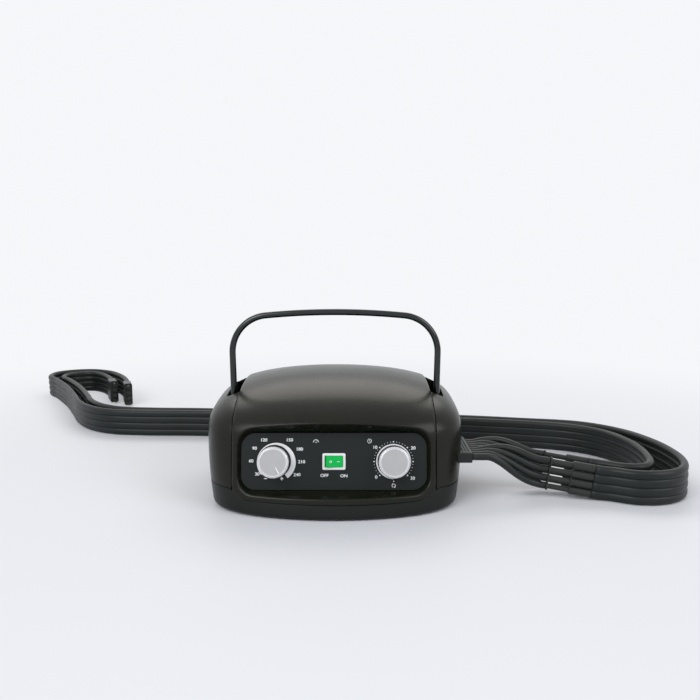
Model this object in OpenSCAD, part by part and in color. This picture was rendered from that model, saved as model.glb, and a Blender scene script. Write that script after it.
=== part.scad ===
/* [Housing] */
// Width of the housing over its side covers
body_w = 243; // [236:1:260]
// Depth of the housing, front to back
body_d = 206; // [198:1:220]
// Height of the crown above the table
body_h = 116; // [110:1:126]
// Height at which the housing is widest
mid_h = 60; // [56:1:64]
// Wall of the shells
wall = 2.5; // [2:0.1:3.2]
// Backward lean of the front, in degrees
front_lean = 13.5; // [11:0.5:15]
// Radius of the ridge line, front to back
ridge_r = 280; // [240:5:340]
// How far the crown lies behind the middle
crown_back = 30; // [20:1:36]
// Radius of the crown, side to side
crown_r = 560; // [460:10:700]
// How far the side walls tuck in at the base
side_tuck = 5; // [3:0.1:7]
// Radius of the edge round the underside
under_r = 3.5; // [2:0.5:6]
// Squareness of the front in plan along its width: a low number bows the front out
front_bow = 1.8; // [1.7:0.1:2.2]
// Squareness of the front in plan along its depth: a high number keeps the sides straight
front_side = 4.4; // [3.6:0.1:5]
// Squareness of the back in plan along its width
rear_bow = 3.2; // [2.8:0.1:4]
// Squareness of the back in plan along its depth
rear_side = 7; // [6:0.5:9]
// Squareness of the shoulders at the sides
side_shoulder = 4.4; // [4:0.1:5]
// Squareness of the shoulders at the front and the back
end_shoulder = 5.6; // [5:0.1:6.4]

/* [Parting lines] */
// Width of the centre cover
saddle_w = 185; // [180:1:188]
// How far the side covers and the base lie inside the centre cover
cheek_step = 1.2; // [0.8:0.1:1.6]
// Height of the base at the sides
base_side_h = 22; // [19:0.5:26]
// Height of the base under the control panel
base_front_h = 14; // [12:0.5:15]
// Gap between two covers
reveal = 0.4; // [0.3:0.05:0.6]

/* [Control panel] */
// Width of the control plate
plate_w = 168; // [160:1:170]
// Height of the control plate
plate_h = 51; // [48:1:53]
// Thickness of the control plate
plate_t = 2; // [1.5:0.1:3]
// Corner radius of the control plate
plate_r = 13; // [9:0.5:16]
// Height of the middle of the control plate
panel_z = 46; // [44:0.5:48]
// How far the middle of the plate lies behind the front of the housing
panel_back = 29.5; // [28:0.5:31]
// Backward tilt of the plate, in degrees
panel_tilt = 12.4; // [10:0.2:14]
// Width of the raised frame at each end of the plate
frame_edge = 4.6; // [3.5:0.1:5.2]
// How far the frame stands out in front of the plate
frame_proud = 3; // [2:0.1:4]
// Distance of each knob from the middle of the plate
knob_pitch = 54; // [50:0.5:57]

/* [Knobs] */
// Diameter of a knob at its skirt
knob_d = 31; // [28:0.5:33]
// Height of a knob
knob_h = 15; // [12:0.5:18]
// How far the knob's side stands back from its skirt
knob_back = 0.7; // [0.4:0.1:1.2]
// Number of flutes round a knob
knob_flutes = 30; // [18:1:36]
// Diameter of the knob's metal cap
cap_d = 26.4; // [22:0.2:27.5]
// Diameter of the control shafts
stem_d = 6; // [5:0.1:6.5]
// Gap between a knob and the plate
knob_gap = 1; // [0.6:0.1:1.5]

/* [Switch] */
// Width of the switch bezel
bezel_w = 21; // [20:0.2:23]
// Height of the switch bezel
bezel_h = 15; // [14:0.2:16]
// Width of the rocker
rocker_w = 15; // [13:0.2:16]
// Height of the rocker
rocker_h = 9.8; // [9:0.2:10.4]
// Angle through which the rocker swings
rocker_swing = 14; // [10:1:18]

/* [Handle] */
// Diameter of the handle rod
rod_d = 6.2; // [5.6:0.1:6.6]
// Height of the top of the handle above the pivots
handle_h = 93; // [88:1:100]
// Height of the handle pivots
pivot_z = 86; // [84:0.5:88]
// How far the pivots lie in front of the middle
pivot_front = 8.5; // [4:0.5:10]
// Outward splay of the legs, in degrees
leg_splay = 0.8; // [0:0.1:1]
// Bend radius at the corners
bend_r = 36; // [30:1:40]
// Radius of the bow in the grip
bow_r = 700; // [500:10:1200]
// Width of the wells in which the legs stand
well_w = 12.6; // [12:0.1:13.4]
// Length of the wells
well_l = 84; // [76:1:90]
// Diameter of the pivot pins
pin_d = 4; // [3.6:0.1:4.6]

/* [Hose plug] */
// Number of air lines
lines = 8; // [8:2:8]
// Distance between the air lines in the plug
line_pitch = 7.4; // [7.2:0.1:7.6]
// Length of the plug along the row of air lines
plug_l = 61; // [60:0.5:63]
// Thickness of the plug
plug_t = 10; // [9.5:0.1:11]
// Height of the middle of the plug
plug_z = 43; // [42:0.5:44]
// How far the middle of the plug lies in front of the middle of the housing
plug_front = 22; // [20:0.5:24]
// Distance from the middle of the housing to the face of the socket
socket_x = 113; // [112:0.5:114]
// How far the plug stands out from its socket
plug_out = 16; // [15:0.5:19]
// Outer diameter of a lead tube
lead_d = 6.6; // [6:0.1:7]

/* [Hoses] */
// Distance between the bores of a ribbon hose
lumen_pitch = 8.25; // [8:0.05:8.5]
// Thickness of a ribbon hose over its ribs
ribbon_t = 8; // [7.4:0.1:8.2]
// Thickness of a ribbon hose in its valleys
valley_t = 5.4; // [4.6:0.1:6]

/* [Inside] */
// Diameter of the compressor cylinders
cylinder_d = 44; // [40:1:48]
// Stroke of the compressor pistons to each side
stroke = 2.5; // [1.5:0.5:3]
// Diameter of the distributor rotor
rotor_d = 14; // [12:0.5:15]
// Diameter of the case screws
screw_d = 3; // [2.5:0.1:3.5]

/* [Hidden] */

$fn = 48;
eps = 0.01;
big = 600;
running = 0.05;

// Underside of the base above the table
foot_h = 1;
saddle_half = saddle_w / 2;
// The centre cover stands outside the side covers and the base, but not behind them
form_w = body_w + 2 * cheek_step;
corner_z = foot_h + under_r;
// Half depth of the front at the widest height, before its lean
front_half = body_d / 2 + cheek_step - (mid_h - corner_z) * tan(front_lean);
panel_y = panel_back - body_d / 2;
plate_gap = 0.3;
floor_t = wall;

// ---------------------------------------------------------------- housing form

// Height of the crowned top over a place in plan
function crown(x, y) = body_h - x * x / (2 * crown_r) - pow(y - crown_back, 2) / (2 * ridge_r);

// Half width at a height: the side walls tuck in towards the base
function half_w(z) = form_w / 2 - side_tuck * pow(max(0, mid_h - z) / (mid_h - foot_h), 2);

// How the front half stretches towards the base, because the front leans back
function lean(y, z) = y < 0 ? 1 + (mid_h - z) * tan(front_lean) / front_half : 1;

function signed_power(v, p) = sign(v) * pow(abs(v), p);

// Place on the plan outline at angle t, as shares of the half width and half depth
function plan(t) = let (front = sin(t) < 0)
    [signed_power(cos(t), 2 / (front ? front_bow : rear_bow)),
     signed_power(sin(t), 2 / (front ? front_side : rear_side))];

// Point on the top at share r of the outline at angle t, inset from the skin
function top_point(r, t, inset) =
    let (p = plan(t), n = side_shoulder + (end_shoulder - side_shoulder) * pow(sin(t), 2),
         x = r * p[0] * (form_w / 2 - inset),
         y = r * p[1] * ((p[1] < 0 ? front_half : body_d / 2) - inset),
         rise = pow(1 - pow(r, n), 1 / n),
         z = mid_h + rise * (crown(x, y) - inset - mid_h))
    [x, y * lean(y, z), z];

// Point on the wall or underside at height z, drawn in by the rounding round
function wall_point(z, round, t, inset) =
    let (p = plan(t), half = half_w(z) - inset - round,
         y = p[1] * ((p[1] < 0 ? front_half : body_d / 2) - inset - round))
    [p[0] * half, y * lean(y, z), z];

// The whole housing as one smooth solid, inset from its skin, with n points round each ring
module form(inset, n, rings) {
    low = foot_h + max(0, inset - cheek_step);
    walls = [[mid_h, 0], [(mid_h + corner_z) / 2, 0], [low + under_r, 0]];
    turn = [for (a = [30, 60, 90]) [low + under_r * (1 - sin(a)), under_r * (1 - cos(a))]];
    sides = concat(walls, turn);
    count = len(rings) + len(sides);
    points = concat(
        [top_point(0, 0, inset)],
        [for (r = rings, i = [0:n - 1]) top_point(r, 360 * i / n, inset)],
        [for (s = sides, i = [0:n - 1]) wall_point(s[0], s[1], 360 * i / n, inset)]);
    faces = concat(
        [for (i = [0:n - 1]) [0, 1 + (i + 1) % n, 1 + i]],
        [for (k = [0:count - 2], i = [0:n - 1])
            [1 + k * n + i, 1 + k * n + (i + 1) % n, 1 + (k + 1) * n + i]],
        [for (k = [0:count - 2], i = [0:n - 1])
            [1 + k * n + (i + 1) % n, 1 + (k + 1) * n + (i + 1) % n, 1 + (k + 1) * n + i]],
        [[for (i = [0:n - 1]) 1 + (count - 1) * n + i]]);
    polyhedron(points, faces, convexity = 6);
}

skin_rings = [0.22, 0.45, 0.64, 0.77, 0.86, 0.92, 0.96, 0.985];
lining_rings = [0.4, 0.7, 0.86, 0.95, 0.985];
module skin(inset) form(inset, 56, skin_rings);
module lining(inset) form(inset, 32, lining_rings);

function smooth(f) = f * f * (3 - 2 * f);
function mix(a, b, f) = a + (b - a) * f;

// Everything below the parting line, which drops in a soft step under the control panel
parting_steps = 6;
module below_parting(shift) {
    high = base_side_h + shift;
    low = base_front_h + shift;
    out = saddle_half + 5;
    in = saddle_half - 13;
    steps = [for (i = [0:parting_steps]) i / parting_steps];
    slope = [for (f = steps) [mix(out, in, f), mix(high, low, smooth(f))]];
    back = [for (f = steps) [-mix(in, out, f), mix(low, high, smooth(f))]];
    rotate([90, 0, 0]) linear_extrude(big, center = true)
        polygon(concat([[-big, -big], [big, -big], [big, high]], slope, back, [[-big, high]]));
}

// Puts children in the plane of the control plate: X right, Y up the plate, Z out of it
module on_panel() translate([0, panel_y, panel_z]) rotate([90 - panel_tilt, 0, 0]) children();

// Rounded rectangle about its middle
module round_rect(w, h, r) {
    square([w - 2 * r, h], center = true);
    square([w, h - 2 * r], center = true);
    for (x = [-1, 1], y = [-1, 1]) translate([x * (w / 2 - r), y * (h / 2 - r)]) circle(r);
}

// ---------------------------------------------------------------- covers

// Opening in front of the plate, flared under the brow and over the ledge
pocket_deep = 26;
brow_flare = 26;
ledge_flare = 13;
side_flare = 6;
pocket_back = 0.5;
corner_steps = 6;
// Points round a rounded rectangle, at a height out of the plate
function round_points(left, right, low, high, r, z) = [for (c = [0:3], i = [0:corner_steps])
    let (a = 90 * (c + i / corner_steps),
         x = c == 0 || c == 3 ? right - r : left + r,
         y = c < 2 ? high - r : low + r)
    [x + r * cos(a), y + r * sin(a), z]];
function pocket_ring(z) =
    let (w = plate_w / 2 + plate_gap + z * tan(side_flare), h = plate_h / 2 + plate_gap)
    round_points(-w, w, -h - z * tan(ledge_flare), h + z * tan(brow_flare), plate_r + z * tan(side_flare), z);
module pocket() {
    n = 4 * (corner_steps + 1);
    on_panel() polyhedron(concat(pocket_ring(-pocket_back), pocket_ring(pocket_deep)), concat(
        [[for (i = [0:n - 1]) i]],
        [for (i = [0:n - 1]) [i, n + i, n + (i + 1) % n]],
        [for (i = [0:n - 1]) [i, n + (i + 1) % n, (i + 1) % n]],
        [[for (i = [n - 1:-1:0]) n + i]]), convexity = 2);
    on_panel() translate([0, 0, -plate_t]) linear_extrude(plate_t)
        round_rect(plate_w + 2 * plate_gap, plate_h + 2 * plate_gap, plate_r);
}

// Holes behind the plate for the switch and the two bushes
bush_d = 10;
switch_body_w = bezel_w - 2.4;
switch_body_h = bezel_h - 2.4;
module panel_holes(gap) {
    for (x = [-knob_pitch, knob_pitch]) translate([x, 0]) circle(d = bush_d + gap);
    square([switch_body_w + gap, switch_body_h + gap], center = true);
}

// Posts of the centre cover, and of the side covers under the handle wells
post_d = 8;
centre_posts = [[-80, 66], [80, 66], [-78, -56], [78, -56]];
side_post_x = saddle_half + 8.5;
side_post_y = [20, 62];
post_z = foot_h + wall + 10;

// Bulkhead above which the centre cover has side walls
bulkhead_z = 68;

// Vents in the back of the centre cover
vents = 9;
vent_pitch = 7;
vent_w = 3;
vent_h = 24;
module rear_vents() {
    for (i = [0:vents - 1])
        translate([30 + (i - (vents - 1) / 2) * vent_pitch, body_d / 2 - 12, 56]) rotate([-90, 0, 0])
            linear_extrude(30) square([vent_w, vent_h], center = true);
}

// Mains inlet in a flat recess in the back
inlet_x = -62;
inlet_z = 40;
inlet_w = 27;
inlet_h = 20;
inlet_edge = 4;
inlet_flange = 2.5;
inlet_deep = 22;
inlet_seat = body_d / 2 - 5;
inlet_gap = 0.2;
module on_inlet(y) translate([inlet_x, y, inlet_z]) rotate([-90, 0, 0]) children();
module inlet_pad() intersection() {
    lining(wall / 3);
    on_inlet(inlet_seat - wall) linear_extrude(20)
        square([inlet_w + 2 * inlet_edge + 6, inlet_h + 2 * inlet_edge + 6], center = true);
}
module inlet_room() {
    on_inlet(inlet_seat) linear_extrude(20)
        square([inlet_w + 2 * inlet_edge + 0.6, inlet_h + 2 * inlet_edge + 0.6], center = true);
    on_inlet(inlet_seat - 10) linear_extrude(20)
        square([inlet_w + 2 * inlet_gap, inlet_h + 2 * inlet_gap], center = true);
}

module centre_cover() color([0.10, 0.10, 0.09]) {
    difference() {
        intersection() {
            union() {
                skin(0);
                on_panel() translate([0, 0, -14]) linear_extrude(14 + frame_proud)
                    round_rect(plate_w + 2 * frame_edge, plate_h + 2 * frame_edge, plate_r + frame_edge);
            }
            translate([-saddle_half, -big / 2, 0]) cube([saddle_w, big, big]);
        }
        below_parting(reveal);
        difference() {
            intersection() {
                lining(wall);
                union() {
                    translate([wall - saddle_half, -big / 2, -eps])
                        cube([saddle_w - 2 * wall, big, big]);
                    translate([-big / 2, -big / 2, -big + bulkhead_z]) cube([big, big, big]);
                }
            }
            on_panel() translate([-big / 2, -big / 2, -plate_t - floor_t]) cube([big, big, big]);
        }
        pocket();
        on_panel() translate([0, 0, -plate_t - floor_t - 1]) linear_extrude(floor_t + 2)
            panel_holes(0.4);
        rear_vents();
        inlet_room();
        for (s = [-1, 1]) translate([s * saddle_half, -pivot_front, pivot_z]) rotate([0, 90, 0])
            cylinder(h = 4 * wall, d = pin_d + 2 * running, center = true);
    }
    difference() {
        inlet_pad();
        inlet_room();
    }
    difference() {
        intersection() {
            lining(wall - 0.6);
            for (p = centre_posts) translate([p[0], p[1], post_z]) cylinder(h = big, d = post_d);
        }
        for (p = centre_posts) translate([p[0], p[1], 0])
            cylinder(h = post_z + 12, d = screw_d - 0.4);
        on_panel() translate([-big / 2, -big / 2, -plate_t]) cube([big, big, big]);
    }
}

// Well in which a leg of the handle stands and swings back
well_x = saddle_half + reveal;
well_y0 = -pivot_front - 5.5 - rod_d / 2;
well_floor = pivot_z - 9;
well_wall = 2;
module well(grow, z) {
    r = 4 + grow;
    translate([well_x, well_y0 - grow, z]) linear_extrude(big) {
        translate([-1, 0]) square([well_w + grow - r + 1, well_l + 2 * grow]);
        translate([0, r]) square([well_w + grow, well_l + 2 * grow - 2 * r]);
        for (y = [r, well_l + 2 * grow - r]) translate([well_w + grow - r, y]) circle(r);
    }
}

// Right-hand side cover, with its well, its posts and the collar of the socket when asked for
collar_t = 3;
collar_deep = 9;
plug_room = 0.4;
module side_cover(has_socket) {
    collar_l = plug_l + 2 * collar_t;
    collar_h = plug_t + 2 * collar_t;
    difference() {
        union() {
            difference() {
                skin(cheek_step);
                lining(cheek_step + wall);
            }
            intersection() {
                lining(cheek_step + wall / 3);
                union() {
                    well(well_wall, well_floor - well_wall);
                    if (has_socket)
                        translate([socket_x - collar_deep, -plug_front, plug_z]) rotate([90, 0, 90])
                            linear_extrude(big) round_rect(collar_l, collar_h, 4);
                }
            }
        }
        translate([-big + well_x, -big / 2, -big / 2]) cube([big, big, big]);
        below_parting(reveal);
        well(0, well_floor);
        translate([well_x, -pivot_front, pivot_z]) rotate([0, 90, 0])
            cylinder(h = well_w + well_wall / 2, d = pin_d + 2 * running);
        if (has_socket)
            translate([socket_x - 2 * collar_deep, -plug_front, plug_z]) rotate([90, 0, 90])
                linear_extrude(60) round_rect(plug_l + 2 * plug_room, plug_t + 2 * plug_room, 2.4);
    }
    for (y = side_post_y) translate([side_post_x, y, post_z]) difference() {
        cylinder(h = well_floor - well_wall / 2 - post_z, d = post_d);
        translate([0, 0, -1]) cylinder(h = 13, d = screw_d - 0.4);
    }
}
module side_cover_right() color([0.11, 0.11, 0.10]) side_cover(true);
module side_cover_left() color([0.11, 0.11, 0.10]) mirror([1, 0, 0]) side_cover(false);

// ---------------------------------------------------------------- base

feet = [[-64, -70], [64, -70], [-64, 82], [64, 82]];
foot_d = 16;
spigot_d = 5;
all_posts = concat(centre_posts,
    [for (s = [-1, 1], y = side_post_y) [s * side_post_x, y]]);
floor_z = foot_h + wall;

// Compressor, left of the middle, and its four rubber mounts
comp_l = 62;
head_l = 14;
piston_t = 7;
piston_end = comp_l / 2 + 5.5;
// Ends of the cylinder, clear of the pistons at the ends of their stroke
comp_end = piston_end + stroke + 4;
comp_x = comp_end + head_l - saddle_half + 1.5;
comp_y = 30;
comp_z = 44;
comp_w = 54;
comp_h = 50;
mount_d = 12;
mount_h = 9;
mount_spots = [for (x = [-1, 1], y = [-1, 1]) [comp_x + x * (comp_l / 2 - 9), comp_y + y * (comp_w / 2 - 9)]];
comp_low = comp_z - comp_h / 2;

// Distributor, right of the middle, with its motor behind it
dist_x = 62;
dist_y0 = -26;
dist_l = 58;
dist_w = 24;
dist_h = 24;
dist_z = 50;
dist_low = dist_z - dist_h / 2;
dist_posts = [[dist_x, dist_y0 + 9], [dist_x, dist_y0 + dist_l - 9]];

// Through hole for a case screw, with the recess for its head
head_z = foot_h + 1.6;
head_t = 2.4;
module screw_hole() {
    cylinder(h = post_z + 1, d = screw_d + 0.4);
    cylinder(h = head_z + head_t, d = 2 * screw_d + 0.4);
}

module base_shell() color([0.14, 0.15, 0.15]) {
    difference() {
        intersection() {
            skin(cheek_step);
            below_parting(0);
        }
        lining(cheek_step + wall);
        for (p = feet) translate([p[0], p[1], 0]) cylinder(h = 10, d = spigot_d + 0.1);
        for (p = all_posts) translate([p[0], p[1], 0]) screw_hole();
        for (x = [-3:3]) translate([comp_x + x * 9, comp_y, 0]) linear_extrude(10)
            square([3, 30], center = true);
    }
    for (p = all_posts) translate([p[0], p[1], 0]) difference() {
        translate([0, 0, foot_h + 1]) cylinder(h = post_z - foot_h - 1, d = post_d);
        screw_hole();
    }
    for (p = mount_spots) translate([p[0], p[1], foot_h + 1])
        cylinder(h = comp_low - mount_h - foot_h - 1, d = mount_d + 2);
    for (p = dist_posts) translate([p[0], p[1], foot_h + 1])
        cylinder(h = dist_low - foot_h - 1, d = 9);
}

module rubber_feet() color([0.05, 0.05, 0.05]) for (p = feet) translate([p[0], p[1], 0])
    rotate_extrude() polygon([[0, 0], [foot_d / 2 - 0.6, 0], [foot_d / 2, 0.6],
        [foot_d / 2, foot_h], [spigot_d / 2, foot_h], [spigot_d / 2, floor_z + 1], [0, floor_z + 1]]);

module case_screws() color("silver") for (p = all_posts) translate([p[0], p[1], 0]) {
    translate([0, 0, head_z]) cylinder(h = head_t, d = 2 * screw_d);
    translate([0, 0, head_z + head_t - eps]) cylinder(h = post_z + 8 - head_z - head_t, d = screw_d - 0.4);
}

// ---------------------------------------------------------------- control panel

module control_plate() color([0.13, 0.15, 0.16]) on_panel() translate([0, 0, -plate_t])
    linear_extrude(plate_t) difference() {
        round_rect(plate_w, plate_h, plate_r);
        panel_holes(0.3);
    }

// Fluted knob body, open underneath, with a plain skirt and a chamfered rim
flute_d = 1.8;
module knob() difference() {
    union() {
        rotate_extrude() polygon([[0, 0], [knob_d / 2, 0], [knob_d / 2, 1.6],
            [knob_d / 2 - 1.8, 2.2], [0, 2.2]]);
        translate([0, 0, 1]) linear_extrude(knob_h - 2.6) difference() {
            circle(d = knob_d - 2 * knob_back);
            for (i = [0:knob_flutes - 1]) rotate(360 * i / knob_flutes)
                translate([knob_d / 2, 0]) circle(d = flute_d, $fn = 16);
        }
        translate([0, 0, knob_h - 3]) rotate_extrude() polygon([[0, 0], [knob_d / 2 - knob_back - 0.5, 0],
            [knob_d / 2 - knob_back - 0.5, 2], [knob_d / 2 - knob_back - 1.2, 3], [0, 3]]);
    }
    translate([0, 0, -eps]) rotate_extrude() translate([4.5, 0])
        square([knob_d / 2 - 6.5, knob_h - 4]);
    translate([0, 0, knob_h - 1]) cylinder(h = 2, d = cap_d + 0.1);
    translate([0, 0, -eps]) cylinder(h = knob_h - 2.6, d = stem_d);
}

// Metal cap let into the face of a knob, with its pointer groove out to the rim
pointer_w = 1;
pointer_from = 0.36;
module knob_cap() difference() {
    rotate_extrude() polygon([[0, 0], [cap_d / 2, 0], [cap_d / 2, 1.2], [cap_d / 2 - 0.8, 1.8], [0, 1.8]]);
    translate([-pointer_w / 2, pointer_from * cap_d / 2, 1.2]) cube([pointer_w, cap_d, 2]);
}

module control(x) on_panel() translate([x, 0, 0]) children();

// Bearings of the pointers at rest, clockwise from straight up
pressure_turn = 150;
time_turn = 8;

module pressure_knob() color([0.6, 0.61, 0.62]) control(-knob_pitch)
    translate([0, 0, knob_gap]) knob();
module pressure_knob_cap() color([0.75, 0.76, 0.77]) control(-knob_pitch)
    translate([0, 0, knob_gap + knob_h - 1]) rotate([0, 0, -pressure_turn]) knob_cap();
module time_knob() color([0.6, 0.61, 0.62]) control(knob_pitch)
    translate([0, 0, knob_gap]) knob();
module time_knob_cap() color([0.75, 0.76, 0.77]) control(knob_pitch)
    translate([0, 0, knob_gap + knob_h - 1]) rotate([0, 0, -time_turn]) knob_cap();

// Shaft of a control, from its works to the knob
bush_out = 0.6;
stem_back = 16;
module stem() {
    translate([0, 0, -plate_t - floor_t - stem_back])
        cylinder(h = plate_t + floor_t + stem_back + knob_gap + knob_h - 3, d = stem_d);
    translate([0, 0, -plate_t - floor_t - stem_back]) cylinder(h = 2, d = stem_d + 6);
}
module pressure_stem() color("silver") control(-knob_pitch) stem();
module time_stem() color("silver") control(knob_pitch) stem();

// Cavity and bush that carry a stem inside the works behind the panel
module stem_room() {
    translate([0, 0, -plate_t - floor_t - big / 2]) cylinder(h = big, d = stem_d + 2 * running);
    translate([0, 0, -plate_t - floor_t - stem_back - 0.5]) cylinder(h = 4, d = stem_d + 8);
}

// Two air lines come into the regulator's back and one leaves it
regulator_pitch = 7;
regulator_back = plate_t + floor_t + 28 + 7;
module pressure_regulator() color([0.72, 0.6, 0.3]) control(-knob_pitch) difference() {
    union() {
        translate([0, 0, -plate_t - floor_t - 1]) cylinder(h = plate_t + floor_t + 1 + bush_out, d = bush_d);
        translate([0, 0, -plate_t - floor_t - 24]) cylinder(h = 24, d = 27);
        translate([0, 0, -plate_t - floor_t - 28]) cylinder(h = 5, d = 20);
        for (s = [-1:1]) translate([s * regulator_pitch, 0, -regulator_back])
            cylinder(h = barb_h + 1, d = barb_d);
    }
    intersection() {
        stem_room();
        translate([0, 0, -plate_t - floor_t - stem_back - 0.5]) cylinder(h = big, d = big);
    }
}

module timer_case() color([0.85, 0.84, 0.8]) control(knob_pitch) difference() {
    union() {
        translate([0, 0, -plate_t - floor_t - 1]) cylinder(h = plate_t + floor_t + 1 + bush_out, d = bush_d);
        translate([0, 0, -plate_t - floor_t - 24]) linear_extrude(24) round_rect(36, 36, 4);
        for (x = [-12, -4, 4, 12]) translate([x, -14, -plate_t - floor_t - 31])
            linear_extrude(8) square([4.8, 0.8], center = true);
    }
    intersection() {
        stem_room();
        translate([0, 0, -plate_t - floor_t - stem_back - 0.5]) cylinder(h = big, d = big);
    }
}

// ---------------------------------------------------------------- switch

bezel_t = 1.8;
switch_deep = 17;
rocker_axis = -2.2;
rocker_pin_d = 1.6;
module switch_case() color([0.92, 0.92, 0.9]) on_panel() {
    difference() {
        union() {
            linear_extrude(bezel_t) round_rect(bezel_w, bezel_h, 1);
            translate([0, 0, -switch_deep]) linear_extrude(switch_deep + eps)
                square([switch_body_w, switch_body_h], center = true);
        }
        translate([0, 0, -9]) linear_extrude(20)
            square([rocker_w + 1.6, rocker_h + 0.6], center = true);
    }
    translate([0, 0, rocker_axis]) rotate([90, 0, 0])
        cylinder(h = rocker_h + 2, d = rocker_pin_d, center = true);
    for (x = [-6, 0, 6]) translate([x, 0, -switch_deep - 6]) linear_extrude(6.5)
        square([0.8, 4.8], center = true);
}

// Rocker with two faces that meet at its middle; the right-hand one is pressed in
module switch_rocker() color([0.1, 0.55, 0.4]) on_panel() translate([0, 0, rocker_axis])
    rotate([0, rocker_swing / 2, 0]) rotate([90, 0, 0]) linear_extrude(rocker_h, center = true) difference() {
        union() {
            polygon([[-rocker_w / 2, -1.5], [rocker_w / 2, -1.5], [rocker_w / 2, 4.6 + 0.8],
                [0, 4.6], [-rocker_w / 2, 4.6 + 0.8]]);
            circle(d = 4.6);
        }
        circle(d = rocker_pin_d + 2 * running);
    }

// ---------------------------------------------------------------- handle

pivot_y = -pivot_front;
// The legs stand in the middle of their wells
leg_foot = [well_x + well_w / 2, 0];
leg_way = [sin(leg_splay), cos(leg_splay)];
bow_mid = [0, handle_h - rod_d / 2 - bow_r];
// Middle of the corner bend: it touches the leg's line and the bow's circle from inside
corner_from = leg_foot + bend_r * [-leg_way[1], leg_way[0]] - bow_mid;
along = corner_from * leg_way;
corner_run = -along + sqrt(along * along - corner_from * corner_from + pow(bow_r - bend_r, 2));
corner_mid = corner_from + bow_mid + corner_run * leg_way;
corner_way = corner_mid - bow_mid;
bow_half = atan2(corner_way[0], corner_way[1]);

// Arc of rod in the XZ plane, from angle a0 to a1 counted from +X towards +Z
module rod_arc(mid, r, a0, a1, d) translate([mid[0], 0, mid[1]]) rotate([90, 0, 0])
    rotate([0, 0, a0]) rotate_extrude(angle = a1 - a0, $fn = 96) translate([r, 0]) circle(d = d);

// The straight stretches are a hair thinner than the corners and end just inside them
rod_step = 0.06;
rod_lap = 0.8 * 180 / PI;
handle_boss_d = 11;
handle_boss_w = 8;
module handle() color([0.45, 0.46, 0.48]) translate([0, pivot_y, pivot_z]) difference() {
    union() {
        rod_arc(bow_mid, bow_r, 90 - bow_half - rod_lap / bow_r, 90 + bow_half + rod_lap / bow_r,
            rod_d - rod_step);
        for (s = [0, 1]) mirror([s, 0, 0]) {
            rod_arc(corner_mid, bend_r, -leg_splay, 90 - bow_half, rod_d);
            translate([leg_foot[0], 0, leg_foot[1]]) rotate([0, leg_splay, 0])
                cylinder(h = corner_run + 0.8, d = rod_d - rod_step);
            translate([leg_foot[0], 0, 0]) rotate([0, 90, 0])
                cylinder(h = handle_boss_w, d = handle_boss_d, center = true);
        }
    }
    for (s = [-1, 1]) translate([s * leg_foot[0], 0, 0]) rotate([0, 90, 0])
        cylinder(h = 2 * handle_boss_w, d = pin_d + 2 * running, center = true);
}

module handle_pins() color("silver") for (s = [0, 1]) mirror([s, 0, 0])
    translate([saddle_half - wall - 2, pivot_y, pivot_z]) rotate([0, 90, 0]) {
        cylinder(h = 2 + wall + reveal + well_w + well_wall / 2, d = pin_d);
        cylinder(h = 1.8, d = pin_d + 3.4);
    }

// Washers that fill the room beside each leg
washer_gap = 0.15;
module handle_washers() color([0.85, 0.85, 0.85]) {
    inner = leg_foot[0] - handle_boss_w / 2 - well_x;
    outer = well_x + well_w - leg_foot[0] - handle_boss_w / 2;
    for (s = [0, 1]) mirror([s, 0, 0]) translate([0, pivot_y, pivot_z]) rotate([0, 90, 0]) difference() {
        union() {
            translate([0, 0, well_x + washer_gap]) cylinder(h = inner - 2 * washer_gap, d = 9);
            translate([0, 0, leg_foot[0] + handle_boss_w / 2 + washer_gap])
                cylinder(h = outer - 2 * washer_gap, d = 9);
        }
        cylinder(h = big, d = pin_d + 2 * running);
    }
}

// ---------------------------------------------------------------- compressor

// Barbs on which the air lines sit
barb_d = 4.4;
barb_h = 7;

// Case with a cylinder through it and a room for the magnets in the middle
module compressor_case() color([0.6, 0.62, 0.63]) translate([comp_x, comp_y, comp_z]) difference() {
    union() {
        translate([0, 0, -comp_h / 2]) linear_extrude(comp_h) round_rect(comp_l, comp_w, 5);
        rotate([0, 90, 0]) cylinder(h = 2 * comp_end, d = cylinder_d, center = true);
    }
    rotate([0, 90, 0]) cylinder(h = 2 * comp_end + 2, d = cylinder_d - 8, center = true);
    for (s = [-1, 1]) translate([0, s * comp_w / 2, 0]) cube([34, 16, 30], center = true);
    for (x = [-12, 12]) translate([x, 0, comp_h / 2]) cube([4, 30, 6], center = true);
}

// Laminated cores with their windings, one on each side of the cylinder
module compressor_coils() color([0.72, 0.4, 0.18]) for (s = [-1, 1])
    translate([comp_x, comp_y + s * (comp_w / 2 - 1), comp_z]) rotate([90, 0, 0]) {
        linear_extrude(13, center = true) round_rect(26, 26, 6);
        translate([0, 0, -s * 7.5]) linear_extrude(3, center = true) square([32, 10], center = true);
    }

// Two pistons on one armature rod
module compressor_piston() color("silver") translate([comp_x, comp_y, comp_z]) rotate([0, 90, 0]) {
    cylinder(h = comp_l + 6, d = 10, center = true);
    cylinder(h = 22, d = 24, center = true);
    for (s = [-1, 1]) translate([0, 0, s * (piston_end - piston_t / 2)])
        cylinder(h = piston_t, d = cylinder_d - 8 - 2 * running, center = true);
}

head_barb = [comp_end + 5, cylinder_d / 2 + 1 + barb_h];
module compressor_heads() color([0.25, 0.26, 0.27]) for (s = [0, 1])
    translate([comp_x, comp_y, comp_z]) mirror([s, 0, 0]) {
        translate([comp_end, 0, 0]) rotate([0, 90, 0]) {
            cylinder(h = head_l - 5, d = cylinder_d + 6);
            translate([0, 0, head_l - 5]) cylinder(h = 5, d = cylinder_d - 6);
        }
        translate([head_barb[0], 0, 0]) cylinder(h = head_barb[1], d = barb_d);
    }

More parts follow.
